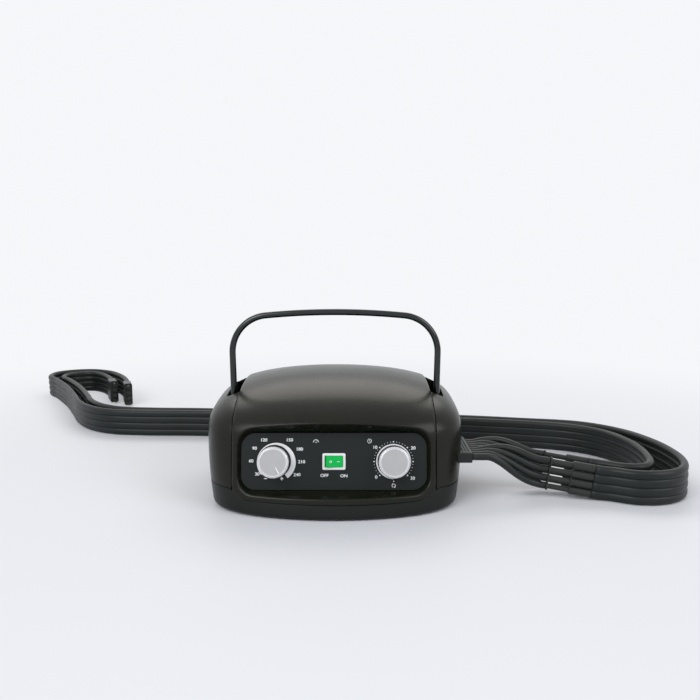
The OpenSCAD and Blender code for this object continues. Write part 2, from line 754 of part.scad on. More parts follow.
module compressor_mounts() color([0.06, 0.06, 0.06]) for (p = mount_spots)
    translate([p[0], p[1], comp_low - mount_h]) rotate_extrude() polygon([[0, 0],
        [mount_d / 2, 0], [mount_d / 2, 2.5], [mount_d / 2 - 2, 3.5], [mount_d / 2 - 2, mount_h - 3.5],
        [mount_d / 2, mount_h - 2.5], [mount_d / 2, mount_h], [0, mount_h]]);

// ---------------------------------------------------------------- distributor

port_pitch = 6.6;
port_y0 = dist_y0 + 6;
module distributor_case() color([0.8, 0.8, 0.76]) difference() {
    union() {
        translate([dist_x - dist_w / 2, dist_y0, dist_low]) cube([dist_w, dist_l, dist_h]);
        for (i = [0:lines - 1]) translate([dist_x + 4, port_y0 + i * port_pitch, dist_low + dist_h - eps])
            cylinder(h = barb_h, d = barb_d, $fn = 24);
        translate([dist_x - dist_w / 2 + eps, dist_y0 + 20, dist_z]) rotate([0, -90, 0])
            cylinder(h = barb_h, d = barb_d, $fn = 24);
    }
    translate([dist_x, dist_y0 + 4, dist_z]) rotate([-90, 0, 0])
        cylinder(h = dist_l, d = rotor_d + 2 * running);
}

module distributor_rotor() color([0.2, 0.2, 0.22]) translate([dist_x, dist_y0 + 4.3, dist_z])
    rotate([-90, 0, 0]) difference() {
        union() {
            cylinder(h = dist_l - 4.6, d = rotor_d);
            cylinder(h = dist_l - 4.3 + 6, d = 4);
        }
        for (i = [0:lines - 1]) rotate([0, 0, 45 * i]) translate([rotor_d / 2, 0, 1.7 + i * port_pitch])
            cube([3, 9, 3.4], center = true);
    }

motor_d = 40;
motor_l = 18;
module distributor_motor() color([0.7, 0.7, 0.72]) translate([dist_x, dist_y0 + dist_l, dist_z])
    rotate([-90, 0, 0]) difference() {
        union() {
            cylinder(h = motor_l, d = motor_d);
            translate([0, 0, 3]) linear_extrude(1.2) round_rect(motor_d + 12, 12, 5);
        }
        translate([0, 0, -eps]) cylinder(h = 8, d = 4 + 2 * running);
    }

// ---------------------------------------------------------------- socket and plug

nipple_d = 4.2;
nipple_l = 10;
function line_y(i) = -plug_front + (i - (lines - 1) / 2) * line_pitch;

module outlet_socket() color([0.2, 0.2, 0.21]) {
    difference() {
        translate([socket_x - 15, -plug_front, plug_z]) rotate([90, 0, 90]) {
            linear_extrude(15) round_rect(plug_l, plug_t, 2);
            linear_extrude(15 - collar_deep) round_rect(plug_l, plug_t + 6, 2);
        }
        for (i = [0:lines - 1]) translate([socket_x, line_y(i), plug_z]) rotate([0, -90, 0])
            translate([0, 0, -1]) cylinder(h = nipple_l + 2, d = nipple_d + 2 * running, $fn = 24);
    }
    for (i = [0:lines - 1]) translate([socket_x - 15 + eps, line_y(i), plug_z]) rotate([0, -90, 0])
        cylinder(h = barb_h, d = barb_d, $fn = 24);
}

plug_gap = 0.2;
plug_x = socket_x + plug_gap;
plug_end = plug_x + plug_out;
grooves = 4;
module hose_plug() color([0.19, 0.2, 0.2]) {
    difference() {
        translate([plug_x, -plug_front, plug_z]) rotate([90, 0, 90])
            linear_extrude(plug_out) round_rect(plug_l, plug_t, 1.6);
        for (i = [0:grooves - 1], s = [-1, 1])
            translate([plug_x + 4.2 + i * 2.8, -plug_front, plug_z + s * plug_t / 2]) rotate([90, 0, 0])
                cylinder(h = plug_l - 8, d = 1.5, center = true, $fn = 16);
    }
    for (i = [0:lines - 1]) translate([plug_x + eps, line_y(i), plug_z]) rotate([0, -90, 0])
        cylinder(h = nipple_l, d = nipple_d, $fn = 24);
}

// ---------------------------------------------------------------- swept tubes

// Unit tangent at point i of a route
function unit(v) = v / norm(v);
function tangent(p, i) = i == 0 ? unit(p[1] - p[0])
    : i == len(p) - 1 ? unit(p[i] - p[i - 1])
    : unit(unit(p[i + 1] - p[i]) + unit(p[i] - p[i - 1]));
function across(t) = abs(t[2]) > 0.9 ? unit(cross(t, [0, 1, 0])) : unit(cross(t, [0, 0, 1]));

// Across directions along a route, carried from point to point so that they don't twist
function carried(p, i = 0, before = undef) =
    let (t = tangent(p, i), a = before == undef ? across(t) : unit(before - (before * t) * t))
    i < len(p) - 1 ? concat([a], carried(p, i + 1, a)) : [a];

// Solid swept along a route; outline is a list of [across, up] offsets
module sweep(route, outline) {
    m = len(outline);
    n = len(route);
    ways = carried(route);
    points = [for (i = [0:n - 1]) let (u = cross(ways[i], tangent(route, i)))
        for (o = outline) route[i] + o[0] * ways[i] + o[1] * u];
    faces = concat(
        [[for (j = [0:m - 1]) j]],
        [for (i = [0:n - 2], j = [0:m - 1]) [i * m + j, (i + 1) * m + j, (i + 1) * m + (j + 1) % m]],
        [for (i = [0:n - 2], j = [0:m - 1]) [i * m + j, (i + 1) * m + (j + 1) % m, i * m + (j + 1) % m]],
        [[for (j = [m - 1:-1:0]) (n - 1) * m + j]]);
    polyhedron(points, faces, convexity = 8);
}
function ring(d, n) = [for (i = [0:n - 1]) d / 2 * [cos(360 * (i + 0.5) / n), sin(360 * (i + 0.5) / n)]];

// Outline of a ribbon hose that stands on its edge: four bores, ribs outside, valleys between
ribbon_h = 4 * lumen_pitch;
flank = [for (k = [0:3]) each
    [[ribbon_t / 2, (k - 1.5) * lumen_pitch], [valley_t / 2, (k - 1) * lumen_pitch]]];
side_points = [for (k = [0:6]) flank[k]];
ribbon_outline = concat(
    [[valley_t / 3, -ribbon_h / 2]],
    side_points,
    [[valley_t / 3, ribbon_h / 2], [-valley_t / 3, ribbon_h / 2]],
    [for (k = [6:-1:0]) [-side_points[k][0], side_points[k][1]]],
    [[-valley_t / 3, -ribbon_h / 2]]);

// Way of the couplings, and where each group starts
coupling_way = unit([42, -7, -6]);
coupling_l = 42;
front_start = [204, -37.5, 23.8];
rear_start = [204, -13.5, 23.8];
front_end = front_start + coupling_l * coupling_way;
rear_end = rear_start + coupling_l * coupling_way;
coupling_up = cross(across(coupling_way), coupling_way);
function coupling_at(start, k) = start + (k - 1.5) * lumen_pitch * coupling_up;

// Lead tubes from the plug to the couplings: each group of four turns from a row into a stack
lead_sag = 4;
lead_steps = 6;
function lead_route(start, k, first) =
    let (row = [plug_end, line_y(first) + 1.5 * line_pitch, plug_z], way = coupling_way,
         e = coupling_at(start, k))
    concat([[plug_end, line_y(first + k), plug_z]],
        [for (i = [0:lead_steps]) let (f = i / lead_steps, g = smooth(f), turn = 90 * g,
            spread = (k - 1.5) * mix(line_pitch, lumen_pitch, g))
            [mix(row[0] + 8, start[0] - 9, f), mix(row[1], start[1] + 1.5, g) + spread * cos(turn),
             mix(row[2], start[2] + 1.3, g) + lead_sag * sin(180 * f) + spread * sin(turn)]],
        [e - 4 * way, e]);

module lead_tubes(start, first) for (k = [0:3])
    sweep(lead_route(start, k, first), ring(lead_d, 8));
module lead_tubes_front() color([0.16, 0.17, 0.16]) lead_tubes(front_start, 0);
module lead_tubes_rear() color([0.16, 0.17, 0.16]) lead_tubes(rear_start, 4);

// One coupling: a thin neck and a fat collar, along +Z
neck_d = 5;
collar_d = 7.9;
module coupling() rotate_extrude() polygon([[0, 0], [collar_d / 2, 0], [collar_d / 2, 1.6],
    [neck_d / 2, 2], [neck_d / 2, 21], [collar_d / 2 - 0.4, 21.6], [collar_d / 2, 22.2],
    [collar_d / 2, coupling_l - 0.6], [collar_d / 2 - 0.5, coupling_l], [0, coupling_l]]);
module couplings(start) for (k = [0:3]) translate(coupling_at(start, k))
    rotate([0, acos(coupling_way[2]), atan2(coupling_way[1], coupling_way[0])]) coupling();
module couplings_front() color([0.3, 0.3, 0.28]) couplings(front_start);
module couplings_rear() color([0.3, 0.3, 0.28]) couplings(rear_start);

// Ribbon hoses: they stand on edge on the table, loop at the right, run behind the housing
// and loop again at the left
rest_z = ribbon_h / 2;
outer_bends = [[262, -48], [281, -58], [303, -59], [323, -50], [336, -34], [344, -10], [346, 20],
    [342, 55], [328, 95], [304, 125], [276, 142], [230, 153], [150, 170], [0, 190], [-170, 209],
    [-245, 213], [-285, 221], [-315, 241], [-338, 270], [-358, 310], [-390, 370], [-425, 425],
    [-446, 455], [-442, 482], [-414, 492], [-392, 478], [-372, 450], [-360, 425]];
inner_bends = [[262, -26], [280, -36], [297, -35], [308, -22], [314, 0], [317, 25], [316, 55],
    [306, 90], [288, 113], [260, 130], [220, 142], [150, 156], [0, 176], [-170, 196],
    [-250, 199], [-295, 207], [-328, 230], [-352, 262], [-374, 305], [-406, 365], [-444, 425],
    [-469, 462], [-464, 496], [-425, 514], [-388, 500], [-360, 468], [-340, 432], [-330, 405]];
function ribbon_route(start, bends) = concat([start, start + 8 * coupling_way],
    [for (p = bends) [p[0], p[1], rest_z]]);
outer_route = ribbon_route(front_end, outer_bends);
inner_route = ribbon_route(rear_end, inner_bends);

module ribbon_hose_outer() color([0.15, 0.17, 0.16]) sweep(outer_route, ribbon_outline);
module ribbon_hose_inner() color([0.15, 0.17, 0.16]) sweep(inner_route, ribbon_outline);

// Four-way connector at the far end of a ribbon hose, along +X, with its nipples beyond it
end_block_l = 26;
end_block_t = 12;
end_nipple_d = 5;
end_nipple_l = 12;
module end_connector(route) {
    last = route[len(route) - 1];
    way = tangent(route, len(route) - 1);
    translate(last) rotate([0, 0, atan2(way[1], way[0])]) {
        translate([eps, 0, 0]) rotate([90, 0, 90]) linear_extrude(end_block_l)
            round_rect(end_block_t, ribbon_h, 3);
        for (k = [0:3]) translate([end_block_l, 0, (k - 1.5) * lumen_pitch]) rotate([0, 90, 0])
            cylinder(h = end_nipple_l, d = end_nipple_d);
    }
}
module end_connector_outer() color([0.18, 0.18, 0.18]) end_connector(outer_route);
module end_connector_inner() color([0.18, 0.18, 0.18]) end_connector(inner_route);

// ---------------------------------------------------------------- tubes and wires inside

inner_d = 5;
tube_gap = 0.2;
module inner_tubes() color([0.7, 0.72, 0.7]) for (i = [0:lines - 1]) {
    from = [dist_x + 4, port_y0 + i * port_pitch, dist_low + dist_h + barb_h + tube_gap];
    to = [socket_x - 15 - barb_h - tube_gap, line_y(i), plug_z];
    y = function (f) mix(from[1], to[1], f);
    sweep([from, from + [0, 0, 5], [from[0] + 3, y(0.1), 80], [from[0] + 8, y(0.25), 81],
        [from[0] + 12, y(0.4), 74], [from[0] + 13.5, y(0.6), 62], [from[0] + 15, y(0.8), 51],
        [to[0] - 6, y(0.95), to[2] + 1.5], to - [3, 0, 0], to], ring(inner_d, 6));
}

// Place on the control panel: across, up the plate, and out of it
function panel_point(x, up, out) = [x,
    panel_y + up * sin(panel_tilt) - out * cos(panel_tilt),
    panel_z + up * cos(panel_tilt) + out * sin(panel_tilt)];
function head_top(s) = [comp_x + s * head_barb[0], comp_y, comp_z + head_barb[1] + tube_gap];
function regulator_tip(s) = panel_point(s * regulator_pitch - knob_pitch, 0, -regulator_back - tube_gap);
function regulator_off(s) = panel_point(s * regulator_pitch - knob_pitch, 0, -regulator_back - 7);

// Air lines from both compressor heads to the regulator, and on to the distributor
supply_d = 5.6;
module supply_tubes() color([0.7, 0.72, 0.7]) {
    left = head_top(-1);
    right = head_top(1);
    inlet = [dist_x - dist_w / 2 - barb_h - tube_gap, dist_y0 + 20, dist_z];
    sweep([left, left + [0, 0, 5], left + [0, -8, 10], left + [3, -24, 7], left + [6, -36, -6],
        [left[0] + 8, -14, 54], [left[0] + 15, -19, 42], regulator_off(-1), regulator_tip(-1)],
        ring(supply_d, 6));
    sweep([right, right + [0, 0, 5], right + [-3, -8, 9], right + [-14, -24, 4], [-8, -6, 68],
        [-28, -12, 56], [-46, -17, 44], regulator_off(0), regulator_tip(0)], ring(supply_d, 6));
    sweep([regulator_tip(1), regulator_off(1), [-42, -19, 33], [-24, -15, 30], [2, -13, 32], [22, -11, 41],
        [32, -8, 48], inlet - [6, 0.6, 0.4], inlet - [3, 0, 0], inlet], ring(supply_d, 6));
}

// Terminal block on the floor of the base, with a column for each wire
block_y = panel_y + 39.5;
block_cols = 5;
block_pitch = 6;
block_l = block_cols * block_pitch + 8;
block_w = 17;
block_h = 13;
module terminal_block() color([0.88, 0.87, 0.82]) translate([0, block_y, floor_z]) difference() {
    union() {
        linear_extrude(block_h - 4) round_rect(block_l, block_w, 2);
        for (i = [0:block_cols - 1]) translate([(i - (block_cols - 1) / 2) * block_pitch, 0, 0])
            linear_extrude(block_h) square([block_pitch - 1.4, block_w - 2], center = true);
    }
    for (i = [0:block_cols - 1], s = [-1, 1])
        translate([(i - (block_cols - 1) / 2) * block_pitch, s * 4, block_h - 5]) cylinder(h = 6, d = 3);
    for (s = [-1, 1]) translate([s * (block_l / 2 - 2), 0, -1]) cylinder(h = block_h, d = 2.4);
}

// Inlet with three pins in a deep cavity, clipped into the back
module mains_inlet() color([0.07, 0.07, 0.07]) {
    on_inlet(inlet_seat) difference() {
        union() {
            linear_extrude(inlet_flange)
                round_rect(inlet_w + 2 * inlet_edge, inlet_h + 2 * inlet_edge, 3);
            translate([0, 0, -inlet_deep]) linear_extrude(inlet_deep + eps)
                square([inlet_w, inlet_h], center = true);
        }
        translate([0, 0, inlet_flange - 17]) linear_extrude(20) polygon([[-inlet_w / 2 + 2, inlet_h / 2 - 2],
            [inlet_w / 2 - 2, inlet_h / 2 - 2], [inlet_w / 2 - 2, -inlet_h / 2 + 6],
            [inlet_w / 2 - 6, -inlet_h / 2 + 2], [-inlet_w / 2 + 6, -inlet_h / 2 + 2],
            [-inlet_w / 2 + 2, -inlet_h / 2 + 6]]);
    }
    for (p = [[-7, 2], [0, -2], [7, 2]]) on_inlet(inlet_seat) translate([p[0], p[1], inlet_flange - 18])
        linear_extrude(13) square([2, 4], center = true);
    for (x = [-7, 0, 7]) on_inlet(inlet_seat - inlet_deep - 6) translate([x, 0, 0])
        linear_extrude(6.5) square([4.8, 0.8], center = true);
}

// Wires between the terminal block and what it feeds
wire_d = 2.2;
wire_gap = 0.3;
function block_top(i, s) =
    [(i - (block_cols - 1) / 2) * block_pitch, block_y + s * 4, floor_z + block_h + wire_gap];
module wire(route) sweep(route, ring(wire_d, 6));
module wiring() color([0.45, 0.2, 0.12]) {
    for (i = [0, 1]) {
        tab = [inlet_x - 7 * i, inlet_seat - inlet_deep - 6 - wire_gap, inlet_z];
        wire([tab, tab - [0, 3, 0.4], [-60 - 4 * i, 67, 30], [-50 - 2 * i, 66, 16 - 3 * i],
            [-20, 64, 9.5 - 3 * i], [6 + 3 * i, 54 + 3 * i, 9], [16 + 3 * i, 34, 8.5],
            [18 + 3 * i, 0, 9], [12 + 5 * i, -18, 14],
            [7 + 6 * i, -26, 22], block_top(3 + i, 1) + [0, 0, 3], block_top(3 + i, 1)]);
    }
    for (i = [0, 1]) {
        tab = panel_point(6 * i - 6, 0, -switch_deep - 6 - wire_gap);
        wire([block_top(i, -1), block_top(i, -1) + [0, 0, 3],
            [-8 + 4 * i, block_y - 8, 26], [-6 + 6 * i, block_y - 12, 35],
            tab + [0, 3, -0.6], tab]);
    }
    for (i = [0, 1]) {
        tab = panel_point(knob_pitch - 12 + 8 * i, -14, -plate_t - floor_t - 31 - wire_gap);
        wire([block_top(3 + i, -1), block_top(3 + i, -1) + [0, 0, 3],
            [14 + 6 * i, block_y - 9 + 9 * i, 24 - 2 * i],
            [26 + 10 * i, block_y - 8 + 12 * i, 25 - i], tab + [-4, 4, -1.2], tab + [0, 2.5, -0.8], tab]);
    }
    wire([block_top(0, 1), block_top(0, 1) + [0, 0, 3], [-15, -24, 21.5], [-21, -13, 23], [-28, -9, 29],
        [-31, -10, 37], [-31, -10.5, 41.5], [-31, -8.6, 43.8], [-31, comp_y - comp_w / 2 - 8 - wire_gap, 44]]);
    wire([block_top(2, 1), block_top(2, 1) + [0, 0, 3], [4, -22, 22], [20, -9, 17], [32, 4, 17],
        [38, 16, 24], [43, 25, 35], [44.5, dist_y0 + dist_l - 3, 41], [45, dist_y0 + dist_l - wire_gap, 42]]);
}

centre_cover();
side_cover_left();
side_cover_right();
base_shell();
control_plate();
pressure_knob();
pressure_knob_cap();
pressure_stem();
pressure_regulator();
time_knob();
time_knob_cap();
time_stem();
timer_case();
switch_case();
switch_rocker();
handle();
handle_pins();
handle_washers();
compressor_case();
compressor_coils();
compressor_piston();
compressor_heads();
compressor_mounts();
distributor_case();
distributor_rotor();
distributor_motor();
outlet_socket();
inner_tubes();
supply_tubes();
terminal_block();
mains_inlet();
wiring();
rubber_feet();
case_screws();
hose_plug();
lead_tubes_front();
lead_tubes_rear();
couplings_front();
couplings_rear();
ribbon_hose_outer();
ribbon_hose_inner();
end_connector_outer();
end_connector_inner();
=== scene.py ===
import math

import bmesh
import bpy
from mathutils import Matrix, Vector
from mathutils.bvhtree import BVHTree


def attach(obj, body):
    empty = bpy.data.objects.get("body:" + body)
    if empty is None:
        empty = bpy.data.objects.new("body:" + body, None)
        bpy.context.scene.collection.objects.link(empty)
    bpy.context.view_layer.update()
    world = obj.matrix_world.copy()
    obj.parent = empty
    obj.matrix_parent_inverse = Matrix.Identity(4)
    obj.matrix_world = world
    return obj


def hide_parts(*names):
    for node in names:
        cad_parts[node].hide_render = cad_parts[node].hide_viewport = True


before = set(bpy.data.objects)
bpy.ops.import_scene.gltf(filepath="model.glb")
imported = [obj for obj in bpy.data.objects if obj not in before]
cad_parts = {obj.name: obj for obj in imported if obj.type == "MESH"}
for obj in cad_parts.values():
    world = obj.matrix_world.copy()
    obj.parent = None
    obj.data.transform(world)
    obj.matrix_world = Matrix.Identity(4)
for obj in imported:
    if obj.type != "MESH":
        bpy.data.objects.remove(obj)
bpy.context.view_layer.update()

bpy.ops.object.select_all(action="DESELECT")


# ---------------------------------------------------------------- studio
# The pump stands on a white table in soft daylight. The camera looks down on it a little
# from the front, at the height of a seated person's eyes.

bpy.context.scene.view_settings.view_transform = "Standard"
camera_tilt = 8.0
bpy.ops.object.camera_add(location=(0.0145, -0.7285, 0.240),
                          rotation=(math.radians(90 - camera_tilt), 0, 0))
camera = bpy.context.object
camera.data.lens = 38.37
camera.data.sensor_width = 36
camera.data.dof.use_dof = False
bpy.context.scene.camera = camera

sky = bpy.data.worlds.new("daylight")
bpy.context.scene.world = sky
sky.use_nodes = True
sky_nodes = sky.node_tree.nodes
sky_link = sky.node_tree.links.new
sky_shader = sky_nodes["Background"]
sky_rays = sky_nodes.new("ShaderNodeLightPath")
sky_seen = sky_nodes.new("ShaderNodeMath")
sky_shown = sky_nodes.new("ShaderNodeMath")
sky_seen.operation = sky_shown.operation = "MAXIMUM"
sky_level = sky_nodes.new("ShaderNodeMapRange")
sky_level.inputs["To Min"].default_value = 0.42
sky_level.inputs["To Max"].default_value = 0.95
sky_shader.inputs["Color"].default_value = (0.965, 0.975, 1.0, 1)
sky_link(sky_rays.outputs["Is Camera Ray"], sky_seen.inputs[0])
sky_link(sky_rays.outputs["Is Transmission Ray"], sky_seen.inputs[1])
sky_link(sky_seen.outputs[0], sky_shown.inputs[0])
sky_link(sky_rays.outputs["Is Glossy Ray"], sky_shown.inputs[1])
sky_link(sky_shown.outputs[0], sky_level.inputs["Value"])
sky_link(sky_level.outputs["Result"], sky_shader.inputs["Strength"])


def soft_box(name, place, aim, width, height, power, tint):
    """A large soft lamp that points at a place on the pump."""
    way = (Vector(aim) - Vector(place)).normalized()
    bpy.ops.object.light_add(type="AREA", location=place,
                             rotation=way.to_track_quat("-Z", "Y").to_euler())
    lamp = bpy.context.object
    lamp.name = name
    lamp.data.shape = "RECTANGLE"
    lamp.data.size = width
    lamp.data.size_y = height
    lamp.data.energy = power
    lamp.data.color = tint
    return lamp


soft_box("window_light", (-1.1, -1.5, 1.5), (0, 0, 0.05), 1.4, 1.2, 24, (0.98, 0.99, 1.0))
soft_box("room_light", (1.5, -0.9, 1.2), (0, 0, 0.05), 1.0, 1.2, 12, (0.94, 0.97, 1.0))
soft_box("ceiling_light", (0.0, 1.1, 1.25), (0, 0.05, 0.08), 1.8, 0.7, 8, (1.0, 0.96, 0.90))

bpy.ops.mesh.primitive_plane_add(size=8, location=(0, 0, -0.0002))
table = bpy.context.object
table.name = "white_table"
paint = bpy.data.materials.new("white_table_top")
paint.use_nodes = True
paint_shader = paint.node_tree.nodes["Principled BSDF"]
paint_shader.inputs["Base Color"].default_value = (0.83, 0.84, 0.88, 1)
paint_shader.inputs["Roughness"].default_value = 0.55
paint_place = paint.node_tree.nodes.new("ShaderNodeTexCoord")
paint_reach = paint.node_tree.nodes.new("ShaderNodeVectorMath")
paint_reach.operation = "LENGTH"
white_far = paint.node_tree.nodes.new("ShaderNodeMapRange")
white_far.interpolation_type = "SMOOTHSTEP"
white_far.inputs["From Min"].default_value = 0.25
white_far.inputs["From Max"].default_value = 1.0
white_glow = paint.node_tree.nodes.new("ShaderNodeEmission")
white_glow.inputs["Color"].default_value = (0.965, 0.975, 1.0, 1)
white_glow.inputs["Strength"].default_value = 0.95
paint_rays = paint.node_tree.nodes.new("ShaderNodeLightPath")
white_seen = paint.node_tree.nodes.new("ShaderNodeMath")
white_seen.operation = "MULTIPLY"
paint_mix = paint.node_tree.nodes.new("ShaderNodeMixShader")
paint_link = paint.node_tree.links.new
paint_link(paint_place.outputs["Object"], paint_reach.inputs[0])
paint_link(paint_reach.outputs["Value"], white_far.inputs["Value"])
paint_link(white_far.outputs["Result"], white_seen.inputs[0])
paint_link(paint_rays.outputs["Is Camera Ray"], white_seen.inputs[1])
paint_link(white_seen.outputs["Value"], paint_mix.inputs["Fac"])
paint_link(paint_shader.outputs["BSDF"], paint_mix.inputs[1])
paint_link(white_glow.outputs["Emission"], paint_mix.inputs[2])
paint_link(paint_mix.outputs["Shader"], paint.node_tree.nodes["Material Output"].inputs["Surface"])
table.data.materials.append(paint)


# ---------------------------------------------------------------- housing
# The covers and the base are injection moulded in dark ABS with a fine spark-eroded grain.
# A wide centre cover saddles the pump from front to back, a side cover closes each end,
# and the base meets them at a parting line that drops under the control panel.

mid_h = 0.060
foot_h = 0.001
under_r = 0.0035
corner_z = foot_h + under_r
body_d = 0.206
body_h = 0.116
form_w = 0.2454
cheek_step = 0.0012
wall = 0.0025
front_slope = math.tan(math.radians(13.5))
front_half = body_d / 2 + cheek_step - (mid_h - corner_z) * front_slope
crown_r = 0.56
ridge_r = 0.28
crown_back = 0.030
saddle_half = 0.0925
reveal = 0.0004
quarter_steps = 60


def add_node(tree, kind, settings):
    """A shader node with its inputs set by name."""
    node = tree.nodes.new(kind)
    for socket, value in settings.items():
        node.inputs[socket].default_value = value
    return node


def clouded_shader(name, color, cloud_look, tones, gloss):
    """A new material whose colour and roughness follow a faint cloud over the piece."""
    material = bpy.data.materials.new(name)
    material.use_nodes = True
    tree = material.node_tree
    link = tree.links.new
    shader = tree.nodes["Principled BSDF"]
    place = tree.nodes.new("ShaderNodeTexCoord")
    cloud = add_node(tree, "ShaderNodeTexNoise", cloud_look)
    tone = tree.nodes.new("ShaderNodeValToRGB")
    for element, (spot, share) in zip(tone.color_ramp.elements, tones):
        element.position = spot
        element.color = [c * share for c in color] + [1]
    sheen = add_node(tree, "ShaderNodeMapRange", {"To Min": gloss[0], "To Max": gloss[1]})
    link(place.outputs["Object"], cloud.inputs["Vector"])
    link(cloud.outputs["Fac"], tone.inputs["Fac"])
    link(tone.outputs["Color"], shader.inputs["Base Color"])
    link(cloud.outputs["Fac"], sheen.inputs["Value"])
    link(sheen.outputs["Result"], shader.inputs["Roughness"])
    return material, tree, shader, place


def raise_grain(tree, shader, grain, strength, depth):
    """Lets a noise raise the surface slightly."""
    bump = add_node(tree, "ShaderNodeBump", {"Strength": strength, "Distance": depth})
    tree.links.new(grain.outputs["Fac"], bump.inputs["Height"])
    tree.links.new(bump.outputs["Normal"], shader.inputs["Normal"])


def surface_material(name, color, gloss, grain_size, grain_depth, metal=0.0):
    """Plastic or metal: faint cloudiness in its colour, a fine grain and a handled sheen."""
    material, tree, shader, place = clouded_shader(
        name, color, {"Scale": 22, "Detail": 6, "Roughness": 0.6}, [(0.3, 0.88), (0.75, 1.14)],
        (gloss - 0.05, gloss + 0.07))
    grain = add_node(tree, "ShaderNodeTexNoise", {"Scale": 1 / grain_size, "Detail": 2})
    tree.links.new(place.outputs["Object"], grain.inputs["Vector"])
    raise_grain(tree, shader, grain, 0.25, grain_depth)
    shader.inputs["Specular IOR Level"].default_value = 0.24
    shader.inputs["Metallic"].default_value = metal
    return material


olive_abs = surface_material("housing_plastic", (0.0066, 0.0074, 0.0034), 0.26, 0.0006, 0.00005)
grey_abs = surface_material("base_plastic", (0.0058, 0.0074, 0.0062), 0.34, 0.0006, 0.00005)


def pick(piece):
    """Makes a piece the only selected one, and the active one."""
    bpy.ops.object.select_all(action="DESELECT")
    piece.select_set(True)
    bpy.context.view_layer.objects.active = piece


def face_outwards(piece):
    """Turns all faces of a closed piece outwards."""
    pick(piece)
    bpy.ops.object.mode_set(mode="EDIT")
    bpy.ops.mesh.select_all(action="SELECT")
    bpy.ops.mesh.normals_make_consistent(inside=False)
    bpy.ops.object.mode_set(mode="OBJECT")


def ring_solid(name, low, rings, high):
    """A ball drawn onto rings of points: its poles close the solid at low and high."""
    count = len(rings[0])
    levels = len(rings) + 1
    bpy.ops.mesh.primitive_uv_sphere_add(segments=count, ring_count=levels, radius=1)
    solid = bpy.context.object
    solid.name = name
    for corner in solid.data.vertices:
        x, y, z = corner.co
        level = round(math.acos(max(-1, min(1, -z))) / math.pi * levels)
        turn = round(math.atan2(y, x) / (2 * math.pi) * count) % count
        corner.co = low if level == 0 else high if level == levels else rings[level - 1][turn]
    solid.data.update()
    face_outwards(solid)
    return solid


def even_angles(p, q, width, depth, count):
    """Angles that part a quarter of a squared ellipse into stretches of equal length."""
    fine = [i / 400 for i in range(401)]
    angles = sorted([math.asin(v ** (q / 2)) for v in fine] + [math.acos(w ** (p / 2)) for w in fine])
    spots = [Vector((width * math.cos(a) ** (2 / p), depth * math.sin(a) ** (2 / q))) if 0 < a < math.pi / 2
             else Vector((width, 0)) if a <= 0 else Vector((0, depth)) for a in angles]
    reach = [0.0]
    for a, b in zip(spots, spots[1:]):
        reach.append(reach[-1] + (b - a).length)
    even = []
    k = 0
    for i in range(count + 1):
        goal = reach[-1] * i / count
        while k < len(reach) - 2 and reach[k + 1] < goal:
            k += 1
        span = reach[k + 1] - reach[k]
        share = (goal - reach[k]) / span if span > 0 else 0
        even.append(angles[k] + max(0, min(1, share)) * (angles[k + 1] - angles[k]))
    return even


def plan_share(quarter, angle):
    """Place on the outline seen from above, as shares of the half width and half depth."""
    front = quarter > 1
    bow, side = (1.8, 4.4) if front else (3.2, 7.0)
    x = max(0.0, math.cos(angle)) ** (2 / bow)
    y = max(0.0, math.sin(angle)) ** (2 / side)
    return (x if quarter in (0, 3) else -x, -y if front else y, math.sin(angle) ** 2)


rear_angles = even_angles(3.2, 7.0, form_w / 2, body_d / 2, quarter_steps)
front_angles = even_angles(1.8, 4.4, form_w / 2, front_half, quarter_steps)
plan_points = []
for quarter, angles in enumerate([rear_angles, rear_angles[::-1], front_angles, front_angles[::-1]]):
    plan_points += [plan_share(quarter, a) for a in angles[:-1]]
crown_shares = [math.cos(a) ** (2 / 4.9) for a in even_angles(4.9, 4.9, 0.112, 0.054, 44)][:-1]


def housing_form(name, inset):
    """The whole housing as one smooth solid, drawn in by the inset."""
    low = foot_h + max(0, inset - cheek_step)
    rows = [(low + under_r * (1 - math.sin(math.radians(a))), under_r * (1 - math.cos(math.radians(a))))
            for a in (90, 72, 54, 36, 18)]
    rows += [(low + under_r + (mid_h - low - under_r) * i / 11, 0) for i in range(11)]
    rings = []
    for z, rounding in rows:
        half = form_w / 2 - 0.005 * ((mid_h - z) / (mid_h - foot_h)) ** 2 - inset - rounding
        ring = []
        for px, py, _ in plan_points:
            y = py * ((front_half if py < 0 else body_d / 2) - inset - rounding)
            ring.append((px * half, y * (1 + (mid_h - z) * front_slope / front_half) if y < 0 else y, z))
        rings.append(ring)
    for r in crown_shares:
        ring = []
        for px, py, turned in plan_points:
            n = 4.4 + 1.2 * turned
            x = r * px * (form_w / 2 - inset)
            y = r * py * ((front_half if py < 0 else body_d / 2) - inset)
            top = body_h - x * x / (2 * crown_r) - (y - crown_back) ** 2 / (2 * ridge_r)
            z = mid_h + max(0.0, 1 - r ** n) ** (1 / n) * (top - inset - mid_h)
            ring.append((x, y * (1 + (mid_h - z) * front_slope / front_half) if y < 0 else y, z))
        rings.append(ring)
    crown = body_h - crown_back ** 2 / (2 * ridge_r) - inset
    return ring_solid(name, (0, 0, low), rings, (0, 0, crown))


def turns(count):
    """The angles of a full turn in equal steps."""
    return [2 * math.pi * i / count for i in range(count)]


def carve(piece, tool, operation="DIFFERENCE"):
    """Cuts a tool out of a piece, or joins it on, and throws the tool away."""
    pick(piece)
    step = piece.modifiers.new("carve", "BOOLEAN")
    step.object = tool
    step.operation = operation
    step.solver = "MANIFOLD"
    bpy.ops.object.modifier_apply(modifier=step.name)
    bpy.data.objects.remove(tool)


